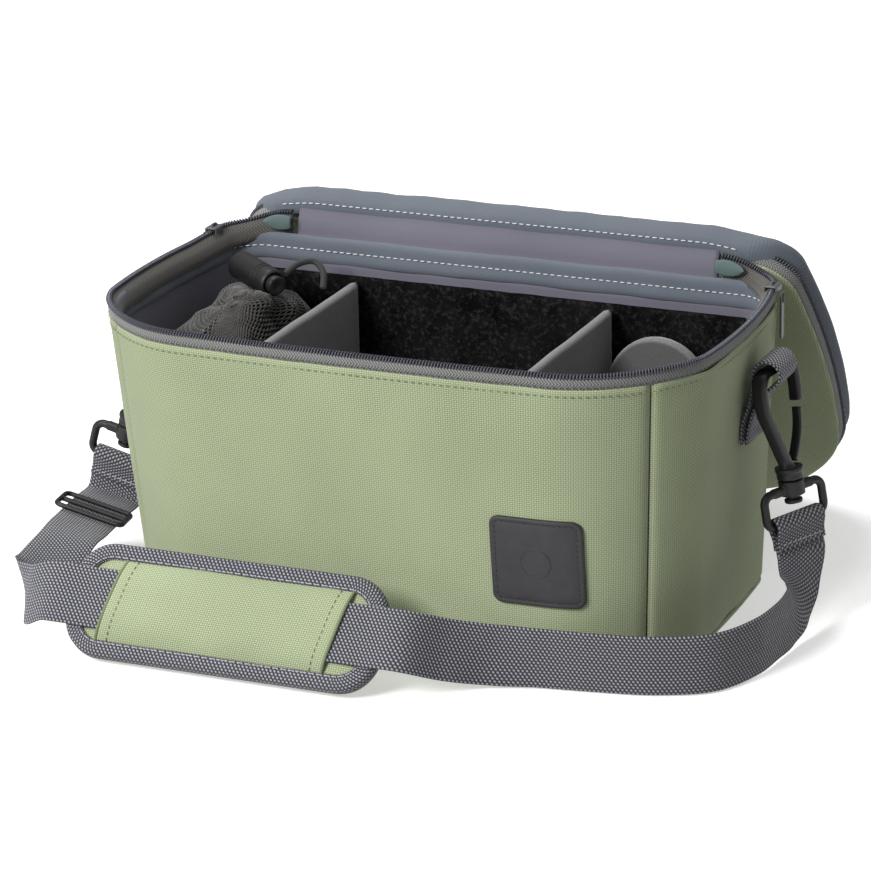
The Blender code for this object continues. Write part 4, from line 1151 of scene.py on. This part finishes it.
def felt_board(name, x_low, x_high, y_low_at, y_high, z_low, z_high):
    """A padded felt board: quilted flat, its top edge a full round fold."""
    radius, x_mid, fold_steps = (x_high - x_low) / 2, (x_low + x_high) / 2, 9
    profile = [(-radius, z) for z in levels(z_low, z_high - radius, 14)]
    for k in range(1, fold_steps):
        a = math.pi - math.pi * k / fold_steps
        profile.append((radius * math.cos(a), z_high - radius + radius * math.sin(a)))
    profile += [(radius, z) for z in levels(z_high - radius, z_low, 14)]
    rows = []
    for dx, z in profile:
        row = []
        y_low = y_low_at(z)
        for share in levels(0.0, 1.0, 40):
            y = mix(y_low, y_high, share)
            pinch = max(1 - min(share, 1 - share) * (y_high - y_low) / 0.004, 0.0) ** 2
            bulge = wobble((dx, y, z), 0.03, 0.0006, 1.0) + wobble((0, y, 0), 0.08, 0.0009, 3.0)
            row.append((x_mid + dx * (1 - 0.55 * pinch) + bulge, y, z - 0.0008 * pinch))
        rows.append(row)
    felt_piece(grid(name + "_board", rows, "felt"), name, name + "_panel")


def felt_piece(board, node, body):
    capped(board).data.shade_smooth()
    fitted(board, body, "grey_felt", node)


def world_copy(source):
    """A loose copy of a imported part, to be reshaped."""
    obj = linked(source.name + "_copy", source.data.copy())
    obj.data.transform(source.matrix_world)
    return obj


def build_dividers():
    for name in ("left_divider", "right_divider"):
        low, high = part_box(name)
        x_mid = (low.x + high.x) / 2
        front_low, front_high = (wall_y("front", x_mid, z, 0.0086) for z in (low.z, high.z))

        def y_low_at(z, a=front_low, b=front_high, z0=low.z, z1=high.z):
            return mix(a, b, (z - z0) / (z1 - z0))

        felt_board(name, low.x + 0.0004, high.x - 0.0004, y_low_at, high.y, low.z, high.z)
        for end in ("front", "rear"):
            node = name + "_" + end + "_hook_tape"
            strip = moulded(node + "_pile", [world_copy(frame["nodes"][node])], "loop", 0.0004, 2)
            fitted(strip, name + "_panel", "loop_felt", node)
    build_half_divider()


def build_half_divider():
    """The low divider: a board with a round top, its faces a touch smaller than its middle."""
    low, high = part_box("half_divider")
    middle, half, radius = (low + high) / 2, (high.y - low.y) / 2, (high.x - low.x) / 2
    spring = high.z - radius
    rows = []
    for share, swell in (
        (-1.0, 0.92), (-1.0, 0.975), (-0.72, 0.995), (0.0, 1.0), (0.72, 0.995), (1.0, 0.975), (1.0, 0.92),
    ):
        y, r = middle.y + share * half, radius * swell
        row = [(middle.x + r, y, z) for z in levels(low.z, spring, 16)[:-1]]
        for k in range(33):
            a = math.pi * k / 32
            row.append((middle.x + r * math.cos(a), y, spring + r * math.sin(a)))
        row += [(middle.x - r, y, z) for z in levels(spring, low.z, 16)[1:]]
        rows.append(row)
    felt_piece(grid("half_divider_board", rows, "felt"), "half_divider", "half_divider_panel")


NET_TOP_Z, NET_CROWN = 0.1440, 0.022
NET_SQUARENESS = 0.62


def pouch_rows(low, high, levels_count, columns, swell):
    """The stuffed pouch's crumpled surface: lumpy rings from its floor to its gathered top."""
    centre, half = (low + high) / 2, (high - low) / 2
    rows = []
    for share in levels(0.0, 1.0, levels_count):
        if share < 0.70:
            width = 1.0 - 0.10 * max(0.08 - share, 0.0) / 0.08
            z = mix(low.z, high.z - NET_CROWN, share / 0.70)
        else:
            a = (share - 0.70) / 0.30 * math.pi / 2
            width = max(math.cos(a), 0.02)
            z = high.z - NET_CROWN + NET_CROWN * math.sin(a)
        lean = 0.004 * smooth((share - 0.35) / 0.5)
        row = []
        for a in turn_angles(columns):
            c, s = (math.copysign(abs(v) ** NET_SQUARENESS, v) for v in (math.cos(a), math.sin(a)))
            spot = centre + Vector((half.x * c * width * 1.10 - 0.003, half.y * s * width, 0))
            spot.z = z + swell
            fold = wobble(spot, 0.024, 0.0070, 11.0) + wobble(spot, 0.010, 0.0034, 12.0)
            out = (fold * 0.9 - 0.0025) * (1 if share < 0.98 else 0.3) + swell
            rise = Vector((0, 0, lean * (spot.y - centre.y) / half.y))
            row.append(spot + Vector((c, s, 0.4)).normalized() * out + rise)
        rows.append(row)
    return rows


def build_pouch():
    """A drawstring net pouch, crumpled into its compartment: a mesh of knitted cords over a near-black sheet,
    which is painted shade seen through the holes.
    """
    low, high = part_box("net_pouch")
    high = Vector((high.x, high.y, NET_TOP_Z))
    # painted shade: a near-black sheet just under the knit, seen through its holes
    under = grid("pouch_painted_shade_sheet", pouch_rows(low, high, 50, 90, -0.0010), "net_hole_shade", closed=True)
    skin = grid("pouch_skin", pouch_rows(low, high, 46, 78, 0.0), "net", closed=True)
    mesh = bmesh.new()
    mesh.from_mesh(skin.data)
    bpy.data.objects.remove(skin, do_unlink=True)
    straight = list(mesh.edges)
    bmesh.ops.poke(mesh, faces=mesh.faces)
    inner = [e for e in straight if e.is_valid and not e.is_boundary]
    bmesh.ops.dissolve_edges(mesh, edges=inner, use_verts=False)
    net = finish_mesh(mesh, "net_pouch_knit", "net")
    wires = net.modifiers.new("knit", "WIREFRAME")
    wires.thickness = 0.0012
    wires.use_replace = True
    wires.use_even_offset = False
    for piece in (under, net):
        fitted(piece, "drawstring_pouch", "black_net")
    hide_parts("net_pouch")


BARREL_START = Vector((-0.1310, 0.0400, 0.1490))
BARREL_END = Vector((-0.1020, 0.0200, 0.1470))
BARREL_RADIUS = 0.0075
CORD_DIAMETER = 0.0034
CORD_ROUTE = (
    (-0.1050, 0.0400, 0.1465), (-0.1010, 0.0480, 0.1500), (-0.0945, 0.0530, 0.1505),
    (-0.0885, 0.0510, 0.1460), (-0.0865, 0.0460, 0.1390),
)


def turned(name, start, end, profile, sides=40):
    """A turned plastic body: (share along, radius) pairs spun about the line from start to end."""
    along = (end - start).normalized()
    side = along.orthogonal().normalized()
    other = along.cross(side)
    spokes = [side * math.cos(a) + other * math.sin(a) for a in turn_angles(sides)]
    rows = [[start.lerp(end, share) + spoke * radius for spoke in spokes] for share, radius in profile]
    obj = capped(grid(name, rows, "plastic", closed=True))
    obj.data.shade_smooth()
    obj.data.set_sharp_from_angle(angle=math.radians(40))
    return obj


def build_cord_lock():
    """The cord lock: a barrel with two fine grooves round it, and the button in its open end."""
    along = (BARREL_END - BARREL_START).normalized()
    full, groove = BARREL_RADIUS, BARREL_RADIUS - 0.0004
    profile = [(0.0, 0.0030), (0.0, full - 0.0012), (0.02, groove), (0.05, full)]
    for start in (0.66, 0.74):
        profile += [(start, full), (start + 0.01, groove), (start + 0.03, groove), (start + 0.04, full)]
    profile += [(0.95, full), (0.985, groove), (1.0, full - 0.0010), (1.0, 0.0058), (0.90, 0.0056)]
    barrel = turned("cord_lock_body", BARREL_START, BARREL_END, profile, 56)
    fitted(barrel, "drawstring_pouch", "black_plastic", "cord_lock_barrel")
    profile = (
        (0.0, 0.0020), (0.0, 0.0049), (0.90, 0.0049), (0.97, 0.0046), (1.0, 0.0040), (1.0, 0.0026),
        (0.94, 0.0018),
    )
    button = turned("cord_lock_cap", BARREL_END - along * 0.0040, BARREL_END + along * 0.0040, profile, 48)
    fitted(button, "cord_lock_button", "black_plastic", "cord_lock_plunger")


def build_drawcord():
    """The drawcord, from the cord lock back down to the pouch's gathered neck."""
    points = [p for p, _ in smooth_stations([(p, (0, 0, 1)) for p in CORD_ROUTE], 5)]
    cord = tube("drawcord_braid", points, CORD_DIAMETER / 2, "cord", sides=14)
    fitted(cord, "drawstring_pouch", "black_cord", "drawcord")


PATCH_CORNER = 0.0050
PATCH_RING_RADIUS = 0.0075
# The patch from its edge to its middle, as (inset, height): a rounded rim, the stitched dip, and the flat
PATCH_SECTION = (
    (0.0003, 0.0), (0.0, 0.0006), (0.0002, 0.0014), (0.0007, 0.0019), (0.0014, 0.0020), (0.0020, 0.0018),
    (0.0026, 0.0016), (0.0032, 0.0018), (0.0038, 0.0020), (0.008, 0.0021), (0.014, 0.0021), (0.0200, 0.0021),
)


def build_patch():
    """A stitched leather patch with rounded corners, bowed to the wall it is sewn on."""
    low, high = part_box("leather_patch")
    middle, half = (low + high) / 2, (high.x - low.x) / 2 - 0.0002

    def on_wall(x, z, out):
        x, z = middle.x + x, middle.z + z
        return Vector((x, wall_y("front", x, z, 0.0) - 0.0006 - out, z))

    def ring(inset, out):
        reach, corner = half - inset, max(PATCH_CORNER - inset, 0.0006)
        return [on_wall(x, z, out) for x, z in rounded_rectangle(reach, reach, corner, 8, 16)]

    rows = [ring(inset, out) for inset, out in PATCH_SECTION]
    patch = grid("stitched_patch", rows, "leather", closed=True)
    with editing(patch) as mesh:
        mesh.faces.new(list(mesh.verts)[-len(rows[0]):])
        bmesh.ops.recalc_face_normals(mesh, faces=mesh.faces)
    patch.data.shade_smooth()
    fitted(patch, "bag", "grey_leather", "leather_patch")
    run = ring(0.0026, 0.0017)
    stitches("patch_stitches", [run + run[:1]], "dark_thread", "bag", 0.0020, 0.0009, 0.00030)
    circle = [(PATCH_RING_RADIUS * math.cos(a), PATCH_RING_RADIUS * math.sin(a)) for a in turn_angles(48)]
    emboss = tube("patch_emboss", [on_wall(x, z, 0.0020) for x, z in circle], 0.00035, "leather", 6, True)
    fitted(emboss, "bag", "grey_leather")


# ---------------------------------------------------------------- tabs, hooks and strap

TAB_Y, TAB_WIDTH = 0.0120, 0.0250
TUNNEL_Z, TUNNEL_OUT = 0.1345, 0.0112
TAB_LOW_Z = 0.098
HOOK_LEAN_DEG = {1: 9.0, -1: 16.0}
TAB_DROP = {1: 0.0, -1: 0.0165}
HOOK_YAW_DEG = {1: 78.0, -1: 100.0}
FRAME_YAW_DEG = {1: 58.0, -1: 4.0}
COLLAR_TOP, COLLAR_LOW = -0.0500, -0.0560
HUB_TOP, HUB_LOW = -0.0564, -0.0640
STEM_LOW = -0.0664
BAR_LOW = -0.0775
FRAME_BAR_RADIUS = 0.0022


def tab_wall_x(z):
    """How far out the end wall stands at this height."""
    return max(abs(x) for x, _ in side_points("right", z, 0.0))


def tunnel_at(sign):
    """The middle of the tab's tunnel, which the hook's claw passes through."""
    drop = TAB_DROP[sign]
    return Vector((sign * (tab_wall_x(0.118 - drop) + 0.0014 + TUNNEL_OUT), TAB_Y, TUNNEL_Z - drop))


def build_tab(sign, name):
    """Webbing folded into an upward loop, its two layers sewn flat on the end wall."""
    drop, tunnel = TAB_DROP[sign], tunnel_at(sign)
    x0 = tab_wall_x(TAB_LOW_Z - drop) + 0.0018
    x1 = tab_wall_x(0.118 - drop) + 0.0014
    route = [(x0, TAB_LOW_Z), (x0 + 0.0003, 0.1080), (x1 + 0.0030, 0.1200), (x1 + 0.0044, 0.1280)]
    radius = 0.0068
    for step in range(8):
        a = math.radians(165 - step * 34)
        route.append((abs(tunnel.x) + radius * math.cos(a), TUNNEL_Z + radius * math.sin(a)))
    route += [(x1 + 0.0066, 0.1200), (x0 + 0.0040, 0.1080), (x0 + 0.0024, TAB_LOW_Z)]
    stations = smooth_stations([((sign * x, TAB_Y, z - drop), (0, 1, 0)) for x, z in route], 5)
    tab = ribbon(name + "_tab_loop", stations, TAB_WIDTH, WEB_THICKNESS, "webbing")
    fitted(tab, "bag", "webbing", name + "_strap_tab")
    x = x0 + 0.0024 + 0.0010
    half = TAB_WIDTH / 2 - 0.003
    runs = []
    for z in (TAB_LOW_Z + 0.0022, TAB_LOW_Z + 0.0085):
        out = sign * (x + 0.0001 + (z - TAB_LOW_Z) * 0.10)
        runs.append([(out, TAB_Y + y, z - drop) for y in levels(-half, half, 9)])
    stitches(name + "_tab_stitches", runs, "grey_thread", "bag", 0.0019, 0.0010, 0.00026)


def hook_frame(sign, yaw_deg):
    """Where the hook hangs: its claw in the tab's tunnel, leaning outwards, and turned about its stem."""
    lean = Matrix.Rotation(-sign * math.radians(HOOK_LEAN_DEG[sign]), 4, "Y")
    yaw = Matrix.Rotation(math.radians(yaw_deg), 4, "Z")
    return Matrix.Translation(tunnel_at(sign)) @ lean @ yaw


HOOK_OUTLINE = (
    (0.0000, -0.0520), (-0.0040, -0.0440), (-0.0100, -0.0300), (-0.0150, -0.0180), (-0.0157, -0.0080),
    (-0.0145, -0.0022), (-0.0105, 0.0000), (0.0000, 0.0002), (0.0105, 0.0000), (0.0145, -0.0022),
    (0.0157, -0.0080), (0.0157, -0.0160), (0.0150, -0.0205),
)
GATE_OUTLINE = ((0.0042, -0.0480), (0.0085, -0.0420), (0.0122, -0.0350), (0.0140, -0.0290), (0.0146, -0.0240))


def flat_bar(name, outline_points, half_width_at, half_depth_at, steps=6):
    """A moulded bar along an outline in the hook's plane, wide or narrow as it goes, with rounded edges."""
    side = Vector((0, 1, 0))
    stations = smooth_stations([((x, 0, z), side) for x, z in outline_points], steps)
    rows = []
    for i, (point, along) in enumerate(frames_along([p for p, _ in stations])):
        share = i / (len(stations) - 1)
        normal = along.cross(side).normalized()
        row = []
        for a in turn_angles(16):
            c, s = (math.copysign(abs(v) ** 0.5, v) for v in (math.cos(a), math.sin(a)))
            row.append(point + side * (half_width_at(share) * c) + normal * (half_depth_at(share) * s))
        rows.append(row)
    return capped(grid(name, rows, "plastic", closed=True))


def build_hook(sign, name):
    """A plastic snap hook: its body with a broad back arm, the stem under it, and the sprung gate."""
    at = hook_frame(sign, HOOK_YAW_DEG[sign])
    bow = flat_bar(
        "bow", HOOK_OUTLINE,
        lambda t: mix(0.0040, 0.0030, abs(t - 0.45) * 1.6), lambda t: 0.0022 + 0.0004 * math.cos(t * 5), 6,
    )
    web = flat_bar(
        "web", ((-0.0020, -0.0490), (-0.0052, -0.0400), (-0.0108, -0.0270), (-0.0140, -0.0170)),
        lambda t: 0.0022, lambda t: 0.0034 * (1 - 0.5 * t), 6,
    )
    collar = rod("collar", (0, 0, COLLAR_LOW + 0.0003), (0, 0, COLLAR_TOP), 0.0066)
    ring = rod("ring", (0, 0, COLLAR_TOP - 0.0018), (0, 0, COLLAR_TOP + 0.0002), 0.0071)
    body = moulded(name + "_hook", [bow, web, collar, ring], "plastic", 0.00042, 4)
    stem = rod("stem", (0, 0, STEM_LOW), (0, 0, COLLAR_LOW + 0.0010), 0.0030)
    flange = rod("flange", (0, 0, STEM_LOW - 0.0016), (0, 0, STEM_LOW + 0.0002), 0.0045)
    foot = moulded(name + "_hook_stem", [stem, flange], "plastic", 0.0004, 2)
    gate = flat_bar("gate", GATE_OUTLINE, lambda t: 0.0024, lambda t: 0.0013, 8)
    gate.name = name + "_hook_spring_gate"
    for piece in (body, foot, gate):
        piece.data.transform(at)
    fitted(body, "bag", "black_plastic", name + "_hook_body")
    fitted(foot, "bag", "black_plastic")
    fitted(gate, name + "_gate", "black_plastic", name + "_hook_gate")


def build_webbing_frame(name, at):
    """The swivelling frame under the hook: a rounded loop of bar, and the hub that turns on the stem."""
    half = WEB_WIDTH / 2 + 0.0030
    top, low = HUB_TOP - 0.0045, BAR_LOW
    outline_points = rounded_rectangle(half, (top - low) / 2, 0.0045, 8)
    points = [(x, 0.0, (top + low) / 2 + z) for x, z in outline_points]
    loop = tube("loop", points, FRAME_BAR_RADIUS, "plastic", sides=12, cyclic=True)
    hub = rod("hub", (0, 0, HUB_LOW), (0, 0, HUB_TOP), 0.0064)
    shoulder_low, shoulder_high = (-0.0125, -0.0021, HUB_LOW + 0.0008), (0.0125, 0.0021, HUB_TOP - 0.0022)
    shoulder = block("shoulder", shoulder_low, shoulder_high, bevel=0.001)
    made = moulded(name + "_strap_frame", [loop, hub, shoulder], "plastic", 0.00042, 4)
    bore = rod("bore", (0, 0, HUB_LOW - 0.004), (0, 0, HUB_TOP + 0.004), 0.0035)
    carve = made.modifiers.new("bore", "BOOLEAN")
    carve.operation = "DIFFERENCE"
    carve.solver = "EXACT"
    carve.object = bore
    made = to_mesh(made)
    bpy.data.objects.remove(bore, do_unlink=True)
    made.data.transform(at)
    fitted(made, name + "_frame", "black_plastic", name + "_webbing_frame")


def build_end_loop(name, at):
    """The strap's end, sewn round the frame's lower bar: gives its tail's place, and its two directions."""
    bar_gap = FRAME_BAR_RADIUS + 0.0009 + WEB_THICKNESS / 2
    tail, neck, spread = BAR_LOW - 0.0120, BAR_LOW - 0.0070, 0.0017
    loop = [(0, spread, tail), (0, spread, neck)]
    for step in range(7):
        a = math.radians(-20 + step * 220 / 6)
        loop.append((0, bar_gap * math.cos(a), BAR_LOW + bar_gap * math.sin(a)))
    loop += [(0, -spread, neck), (0, -spread, tail)]
    stations = smooth_stations([(p, (1, 0, 0)) for p in loop], 4)
    end = ribbon(name + "_end_loop", stations, WEB_WIDTH, WEB_THICKNESS, "webbing")
    end.data.transform(at)
    fitted(end, name + "_frame", "webbing", name + "_strap_end_loop")
    half, out = WEB_WIDTH / 2 - 0.003, spread + WEB_THICKNESS / 2 + 0.0001
    runs = [[at @ Vector((x, y, BAR_LOW - 0.0092)) for x in levels(-half, half, 9)] for y in (out, -out)]
    stitches(name + "_end_loop_stitches", runs, "grey_thread", name + "_frame", 0.0022, 0.0010, 0.00030)
    axes = at.to_3x3()
    return at @ Vector((0, 0, tail + 0.0050)), axes @ Vector((1, 0, 0)), axes @ Vector((0, 0, -1))


PAD_LENGTH, PAD_WIDTH, PAD_THICKNESS, PAD_TRAVEL = 0.168, 0.058, 0.006, 0.010
PAD_CORNER = 0.021
PAD_CENTRE = Vector((-0.0590, -0.1340, 0.0270))
BINDING_RISE = 0.0010
PAD_UP = Vector((0.0, 0.5547, 0.8320))
PAD_OUT = Vector((0.0, -0.8320, 0.5547))
STRAP_OFFSET = PAD_OUT * (PAD_THICKNESS / 2 + BINDING_RISE + WEB_THICKNESS / 2 + 0.0004)

RIGHT_ROUTE = (
    ((0.1848, 0.0086, 0.0285), (0.42, 0.80, -0.44)), ((0.1866, -0.0005, 0.0198), (0.22, 0.52, -0.82)),
    ((0.1874, -0.0130, 0.0165), (0.08, 0.14, -0.98)), ((0.1868, -0.0320, 0.0160), (0.0, 0.0, -1.0)),
    ((0.1838, -0.0540, 0.0160), (0.0, 0.0, -1.0)), ((0.1720, -0.0785, 0.0158), (0.0, 0.0, -1.0)),
    ((0.1480, -0.0920, 0.0156), (0.0, 0.0, -1.0)), ((0.1180, -0.0990, 0.0156), (0.0, 0.0, -1.0)),
    ((0.0920, -0.1030, 0.0158), (0.0, -0.04, -1.0)), ((0.0700, -0.1100, 0.0170), (0.0, -0.18, -0.98)),
    ((0.0520, -0.1230, 0.0220), (0.0, -0.40, -0.91)),
)
LEFT_ROUTE = (
    ((-0.1685, -0.1315, 0.0235), (0.10, -0.45, -0.88)), ((-0.1785, -0.1150, 0.0205), (0.42, -0.36, -0.83)),
    ((-0.1815, -0.0900, 0.0215), (0.84, -0.18, -0.50)), ((-0.1825, -0.0620, 0.0280), (1.0, 0.0, -0.22)),
)


def build_strap(right_start, left_end):
    (r_at, r_across, r_down), (l_at, l_across, l_down) = right_start, left_end
    middle = PAD_CENTRE + STRAP_OFFSET
    half = Vector((PAD_LENGTH / 2 + PAD_TRAVEL + 0.001, 0, 0))
    route = [(r_at, r_across), (r_at + r_down * 0.0070, r_across), (r_at + r_down * 0.010, r_across)]
    route += list(RIGHT_ROUTE)
    route += [(middle + half * share, -PAD_UP) for share in (1.0, 0.75, 0.25, -0.25, -0.75, -1.0)]
    route += list(LEFT_ROUTE)
    above, below = l_at + l_down * 0.013, Vector(LEFT_ROUTE[-1][0])
    route += [(below.lerp(above, share), l_across) for share in (0.25, 0.50, 0.75)]
    route += [(above, l_across), (l_at + l_down * 0.0070, l_across), (l_at, l_across)]
    stations = smooth_stations(route, 10)
    strap = ribbon("shoulder_strap", stations, WEB_WIDTH, WEB_THICKNESS, "webbing")
    fitted(strap, "bag", "webbing", "main_strap")
    return below, above, l_across


def build_adjuster(below, above, l_across):
    """A plastic tri-glide: a rounded frame and a middle bar, lying on the left-hand strand."""
    spot = above.lerp(below, 0.5)
    along = (below - above).normalized()
    across = (along * l_across.dot(along) - l_across).normalized()
    rise = WEB_THICKNESS / 2 + 0.0024
    half_x = WEB_WIDTH / 2 + 0.0032
    points = [(x, y, rise) for x, y in rounded_rectangle(half_x, 0.0095, 0.0030, 6)]
    ring = tube("glide_ring", points, 0.0014, "plastic", sides=10, cyclic=True)
    bar = rod("glide_bar", (-half_x, 0, rise), (half_x, 0, rise), 0.0014)
    glide = moulded("strap_adjuster", [ring, bar], "plastic", 0.0004, 3)
    glide.data.transform(matrix_of(across, along, across.cross(along), spot))
    fitted(glide, "adjuster", "black_plastic", "slide_adjuster")


def pad_ring(inset, z):
    """The pad's rounded outline, this far in from its edge, in the pad's own plane."""
    radius = max(PAD_CORNER - inset, 0.001)
    half_x, half_y = PAD_LENGTH / 2 - inset, PAD_WIDTH / 2 - inset
    return [(x, y, z) for x, y in rounded_rectangle(half_x, half_y, radius, 12, 24)]


def inflated(obj, voxel, pressure, most):
    """Swells a closed shape by cloth simulation, as stuffing swells a cover; no point moves past most."""
    remesh = obj.modifiers.new("even", "REMESH")
    remesh.mode = "VOXEL"
    remesh.voxel_size = voxel
    obj = to_mesh(obj)
    before = [v.co.copy() for v in obj.data.vertices]
    cloth = obj.modifiers.new("cloth", "CLOTH")
    cloth.settings.use_pressure = True
    cloth.settings.uniform_pressure_force = pressure
    cloth.settings.effector_weights.gravity = 0.0
    cloth.settings.mass = 0.2
    cloth.settings.tension_stiffness = 20.0
    cloth.settings.bending_stiffness = 1.0
    cloth.point_cache.frame_start = 1
    cloth.point_cache.frame_end = 20
    scene = bpy.context.scene
    for step in range(1, 21):
        scene.frame_set(step)
    graph = bpy.context.evaluated_depsgraph_get()
    after = [v.co.copy() for v in obj.evaluated_get(graph).data.vertices]
    obj.modifiers.remove(cloth)
    for vert, old, new in zip(obj.data.vertices, before, after):
        move = new - old
        if move.length > most:
            move = move.normalized() * most
        vert.co = old + move
    scene.frame_set(1)
    fine = obj.modifiers.new("fine", "SUBSURF")
    fine.levels = fine.render_levels = 1
    return to_mesh(obj)


def build_pad_cushion(at, half):
    """The pad's stuffed core, in canvas."""
    flat, slope = half - 0.0012, (half - 0.0012) * 0.6
    section = (
        (0.0036, -flat), (0.0030, -flat), (0.0024, -slope), (0.0022, 0.0), (0.0024, slope), (0.0030, flat),
        (0.0036, flat),
    )
    core = capped(grid("pad_cushion", [pad_ring(inset, z) for inset, z in section], "canvas", closed=True))
    core = inflated(core, 0.0022, 4.0, 0.0016)
    dressed(core, "canvas").data.shade_smooth()
    layer = core.data.uv_layers.get("metres") or core.data.uv_layers.new(name="metres")
    for loop in core.data.loops:
        layer.data[loop.index].uv = core.data.vertices[loop.vertex_index].co.xy
    core.data.transform(at)
    fitted(core, "shoulder_pad", "sage_canvas", "pad_core")


def build_pad_binding(at, half):
    """Webbing folded round the pad's edge and sewn through."""
    section = (
        (0.0086, half - 0.0010), (0.0086, half + 0.0008), (0.0070, half + 0.0013), (0.0045, half + 0.0014),
        (0.0022, half + 0.0011), (0.0006, half + 0.0002), (0.0, 0.0), (0.0006, -half - 0.0002),
        (0.0022, -half - 0.0009), (0.0045, -half - 0.0010), (0.0070, -half - 0.0010), (0.0086, -half - 0.0006),
        (0.0086, -half + 0.0010),
    )
    rows = []
    for inset, height in section:
        ring = pad_ring(inset, height)
        rows.append([(x, y, z + wobble((x, y, z), 0.012, 0.0003, 2.0)) for x, y, z in ring])
    binding = grid("pad_edge_binding", rows[::-1], "webbing", closed=True)
    binding.data.transform(at)
    fitted(binding, "shoulder_pad", "webbing", "pad_binding")
    run = [at @ Vector(p) for p in pad_ring(0.0075, half + 0.0013)]
    stitches("pad_binding_stitches", [run + run[:1]], "grey_thread", "shoulder_pad", 0.0026, 0.0012, 0.00028)


SLEEVE_LENGTH, SLEEVE_SKEW = 0.122, 0.0042


def build_sleeve(at, half):
    """The sleeve: canvas from binding to binding, hemmed at both ends and domed over the strap."""
    edge_y = PAD_WIDTH / 2 - 0.0078
    over = half + BINDING_RISE + WEB_THICKNESS + 0.0018

    def height(x, share):
        dome = 1 - abs(share) ** 3.2
        return dome, mix(half + 0.0004, over, dome) + wobble((x, share * 0.03, 0), 0.022, 0.0006, 4.0)

    rows = []
    for share in levels(-1.0, 1.0, 34):
        row = []
        for x in levels(-SLEEVE_LENGTH / 2, SLEEVE_LENGTH / 2, 70):
            end = max(abs(x) / (SLEEVE_LENGTH / 2) - 0.955, 0.0) / 0.045
            dome, z = height(x, share)
            row.append((x + SLEEVE_SKEW * share, share * edge_y, z + 0.0005 * (1 - end) * dome))
        rows.append(row)
    sleeve = grid("pad_strap_sleeve", rows, "canvas", 0.0009)
    sleeve.data.transform(at)
    fitted(sleeve, "shoulder_pad", "sage_canvas", "pad_sleeve")
    runs = []
    for sign, name in ((-1, "left"), (1, "right")):
        run, hem = [], []
        for share in levels(-0.97, 0.97, 30):
            x = sign * (SLEEVE_LENGTH / 2 - 0.0065)
            z = height(x, share)[1]
            run.append(at @ Vector((x + SLEEVE_SKEW * share, share * edge_y, z + 0.0006)))
            hem.append(at @ Vector((x + SLEEVE_SKEW * share + sign * 0.0062, share * edge_y, z)))
        runs.append(run)
        fitted(tube("sleeve_" + name + "_hem", hem, 0.0008, "canvas", sides=8), "shoulder_pad", "sage_canvas")
    stitches("pad_sleeve_stitches", runs, "green_thread", "shoulder_pad", 0.0019, 0.0012, 0.00024)


# ---------------------------------------------------------------- camera, light and floor

AZIMUTH_DEG, ELEVATION_DEG, ROLL_DEG = 23.4832, 19.0735, -1.1
DISTANCE = 2.1266
FOCAL_MM, SENSOR_MM = 173.59, 36.0
AIM = Vector((-0.0006, RIM_SHIFT_Y, 0.0824))
LIGHT_AIM = Vector((0, 0, 0.08))


def build_camera():
    a, e, r = math.radians(AZIMUTH_DEG), math.radians(ELEVATION_DEG), math.radians(ROLL_DEG)
    back = Vector((math.sin(a) * math.cos(e), -math.cos(a) * math.cos(e), math.sin(e)))
    right = Vector((math.cos(a), math.sin(a), 0))
    up = back.cross(right)
    rolled_right = math.cos(r) * right + math.sin(r) * up
    rolled_up = -math.sin(r) * right + math.cos(r) * up
    spot = right * AIM.x + up * AIM.z + back * DISTANCE + Vector((0, AIM.y, 0))
    data = bpy.data.cameras.new("camera")
    data.lens, data.sensor_width = FOCAL_MM, SENSOR_MM
    camera = linked("camera", data)
    camera.matrix_world = matrix_of(rolled_right, rolled_up, back, spot)
    bpy.context.scene.camera = camera


def area_light(name, place, size, power):
    data = bpy.data.lights.new(name, "AREA")
    data.shape = "DISK"
    data.size = size
    data.energy = power
    light = linked(name, data)
    light.location = place
    light.rotation_mode = "QUATERNION"
    light.rotation_quaternion = (Vector(place) - LIGHT_AIM).to_track_quat("Z", "Y")


def build_stage():
    bpy.ops.mesh.primitive_plane_add(size=16.0, location=(0, 0, -0.0002))
    floor = bpy.context.object
    floor.name = "studio_floor"
    n = Nodes("studio_floor_paint", 0.95, specular=0.0)
    n.colour((0.90, 0.90, 0.90))
    n.shader.inputs["Emission Color"].default_value = (1.0, 1.0, 1.0, 1.0)
    n.shader.inputs["Emission Strength"].default_value = 0.42
    floor.data.materials.append(n.material)
    floor.visible_diffuse = False
    scene = bpy.context.scene
    scene.view_settings.view_transform = "Standard"
    world = bpy.data.worlds.new("studio")
    world.use_nodes = True
    world.node_tree.nodes["Background"].inputs["Color"].default_value = (1.0, 1.0, 1.0, 1.0)
    world.node_tree.nodes["Background"].inputs["Strength"].default_value = 0.42
    scene.world = world
    area_light("key", (-0.60, -1.60, 1.20), 0.8, 47.0)
    area_light("top", (-0.5, 0.3, 1.9), 0.9, 17.0)


def build_all():
    build_camera()
    build_stage()
    build_drawcord()
    build_walls()
    build_inner_cloth()
    build_mouth_facing()
    build_loop_piles()
    build_body_zip()
    build_sliders()
    build_lid()
    build_hinge()
    build_dividers()
    build_pouch()
    build_cord_lock()
    build_patch()
    ends = {}
    for sign, name in ((1, "right"), (-1, "left")):
        build_tab(sign, name)
        build_hook(sign, name)
        frame_at = hook_frame(sign, FRAME_YAW_DEG[sign])
        build_webbing_frame(name, frame_at)
        ends[name] = build_end_loop(name, frame_at)
    build_adjuster(*build_strap(ends["right"], ends["left"]))
    pad_at = matrix_of(Vector((1, 0, 0)), PAD_UP, PAD_OUT, PAD_CENTRE)
    for build_layer in (build_pad_cushion, build_pad_binding, build_sleeve):
        build_layer(pad_at, PAD_THICKNESS / 2)
    dressed(frame["nodes"]["base_board"], "board")


build_all()
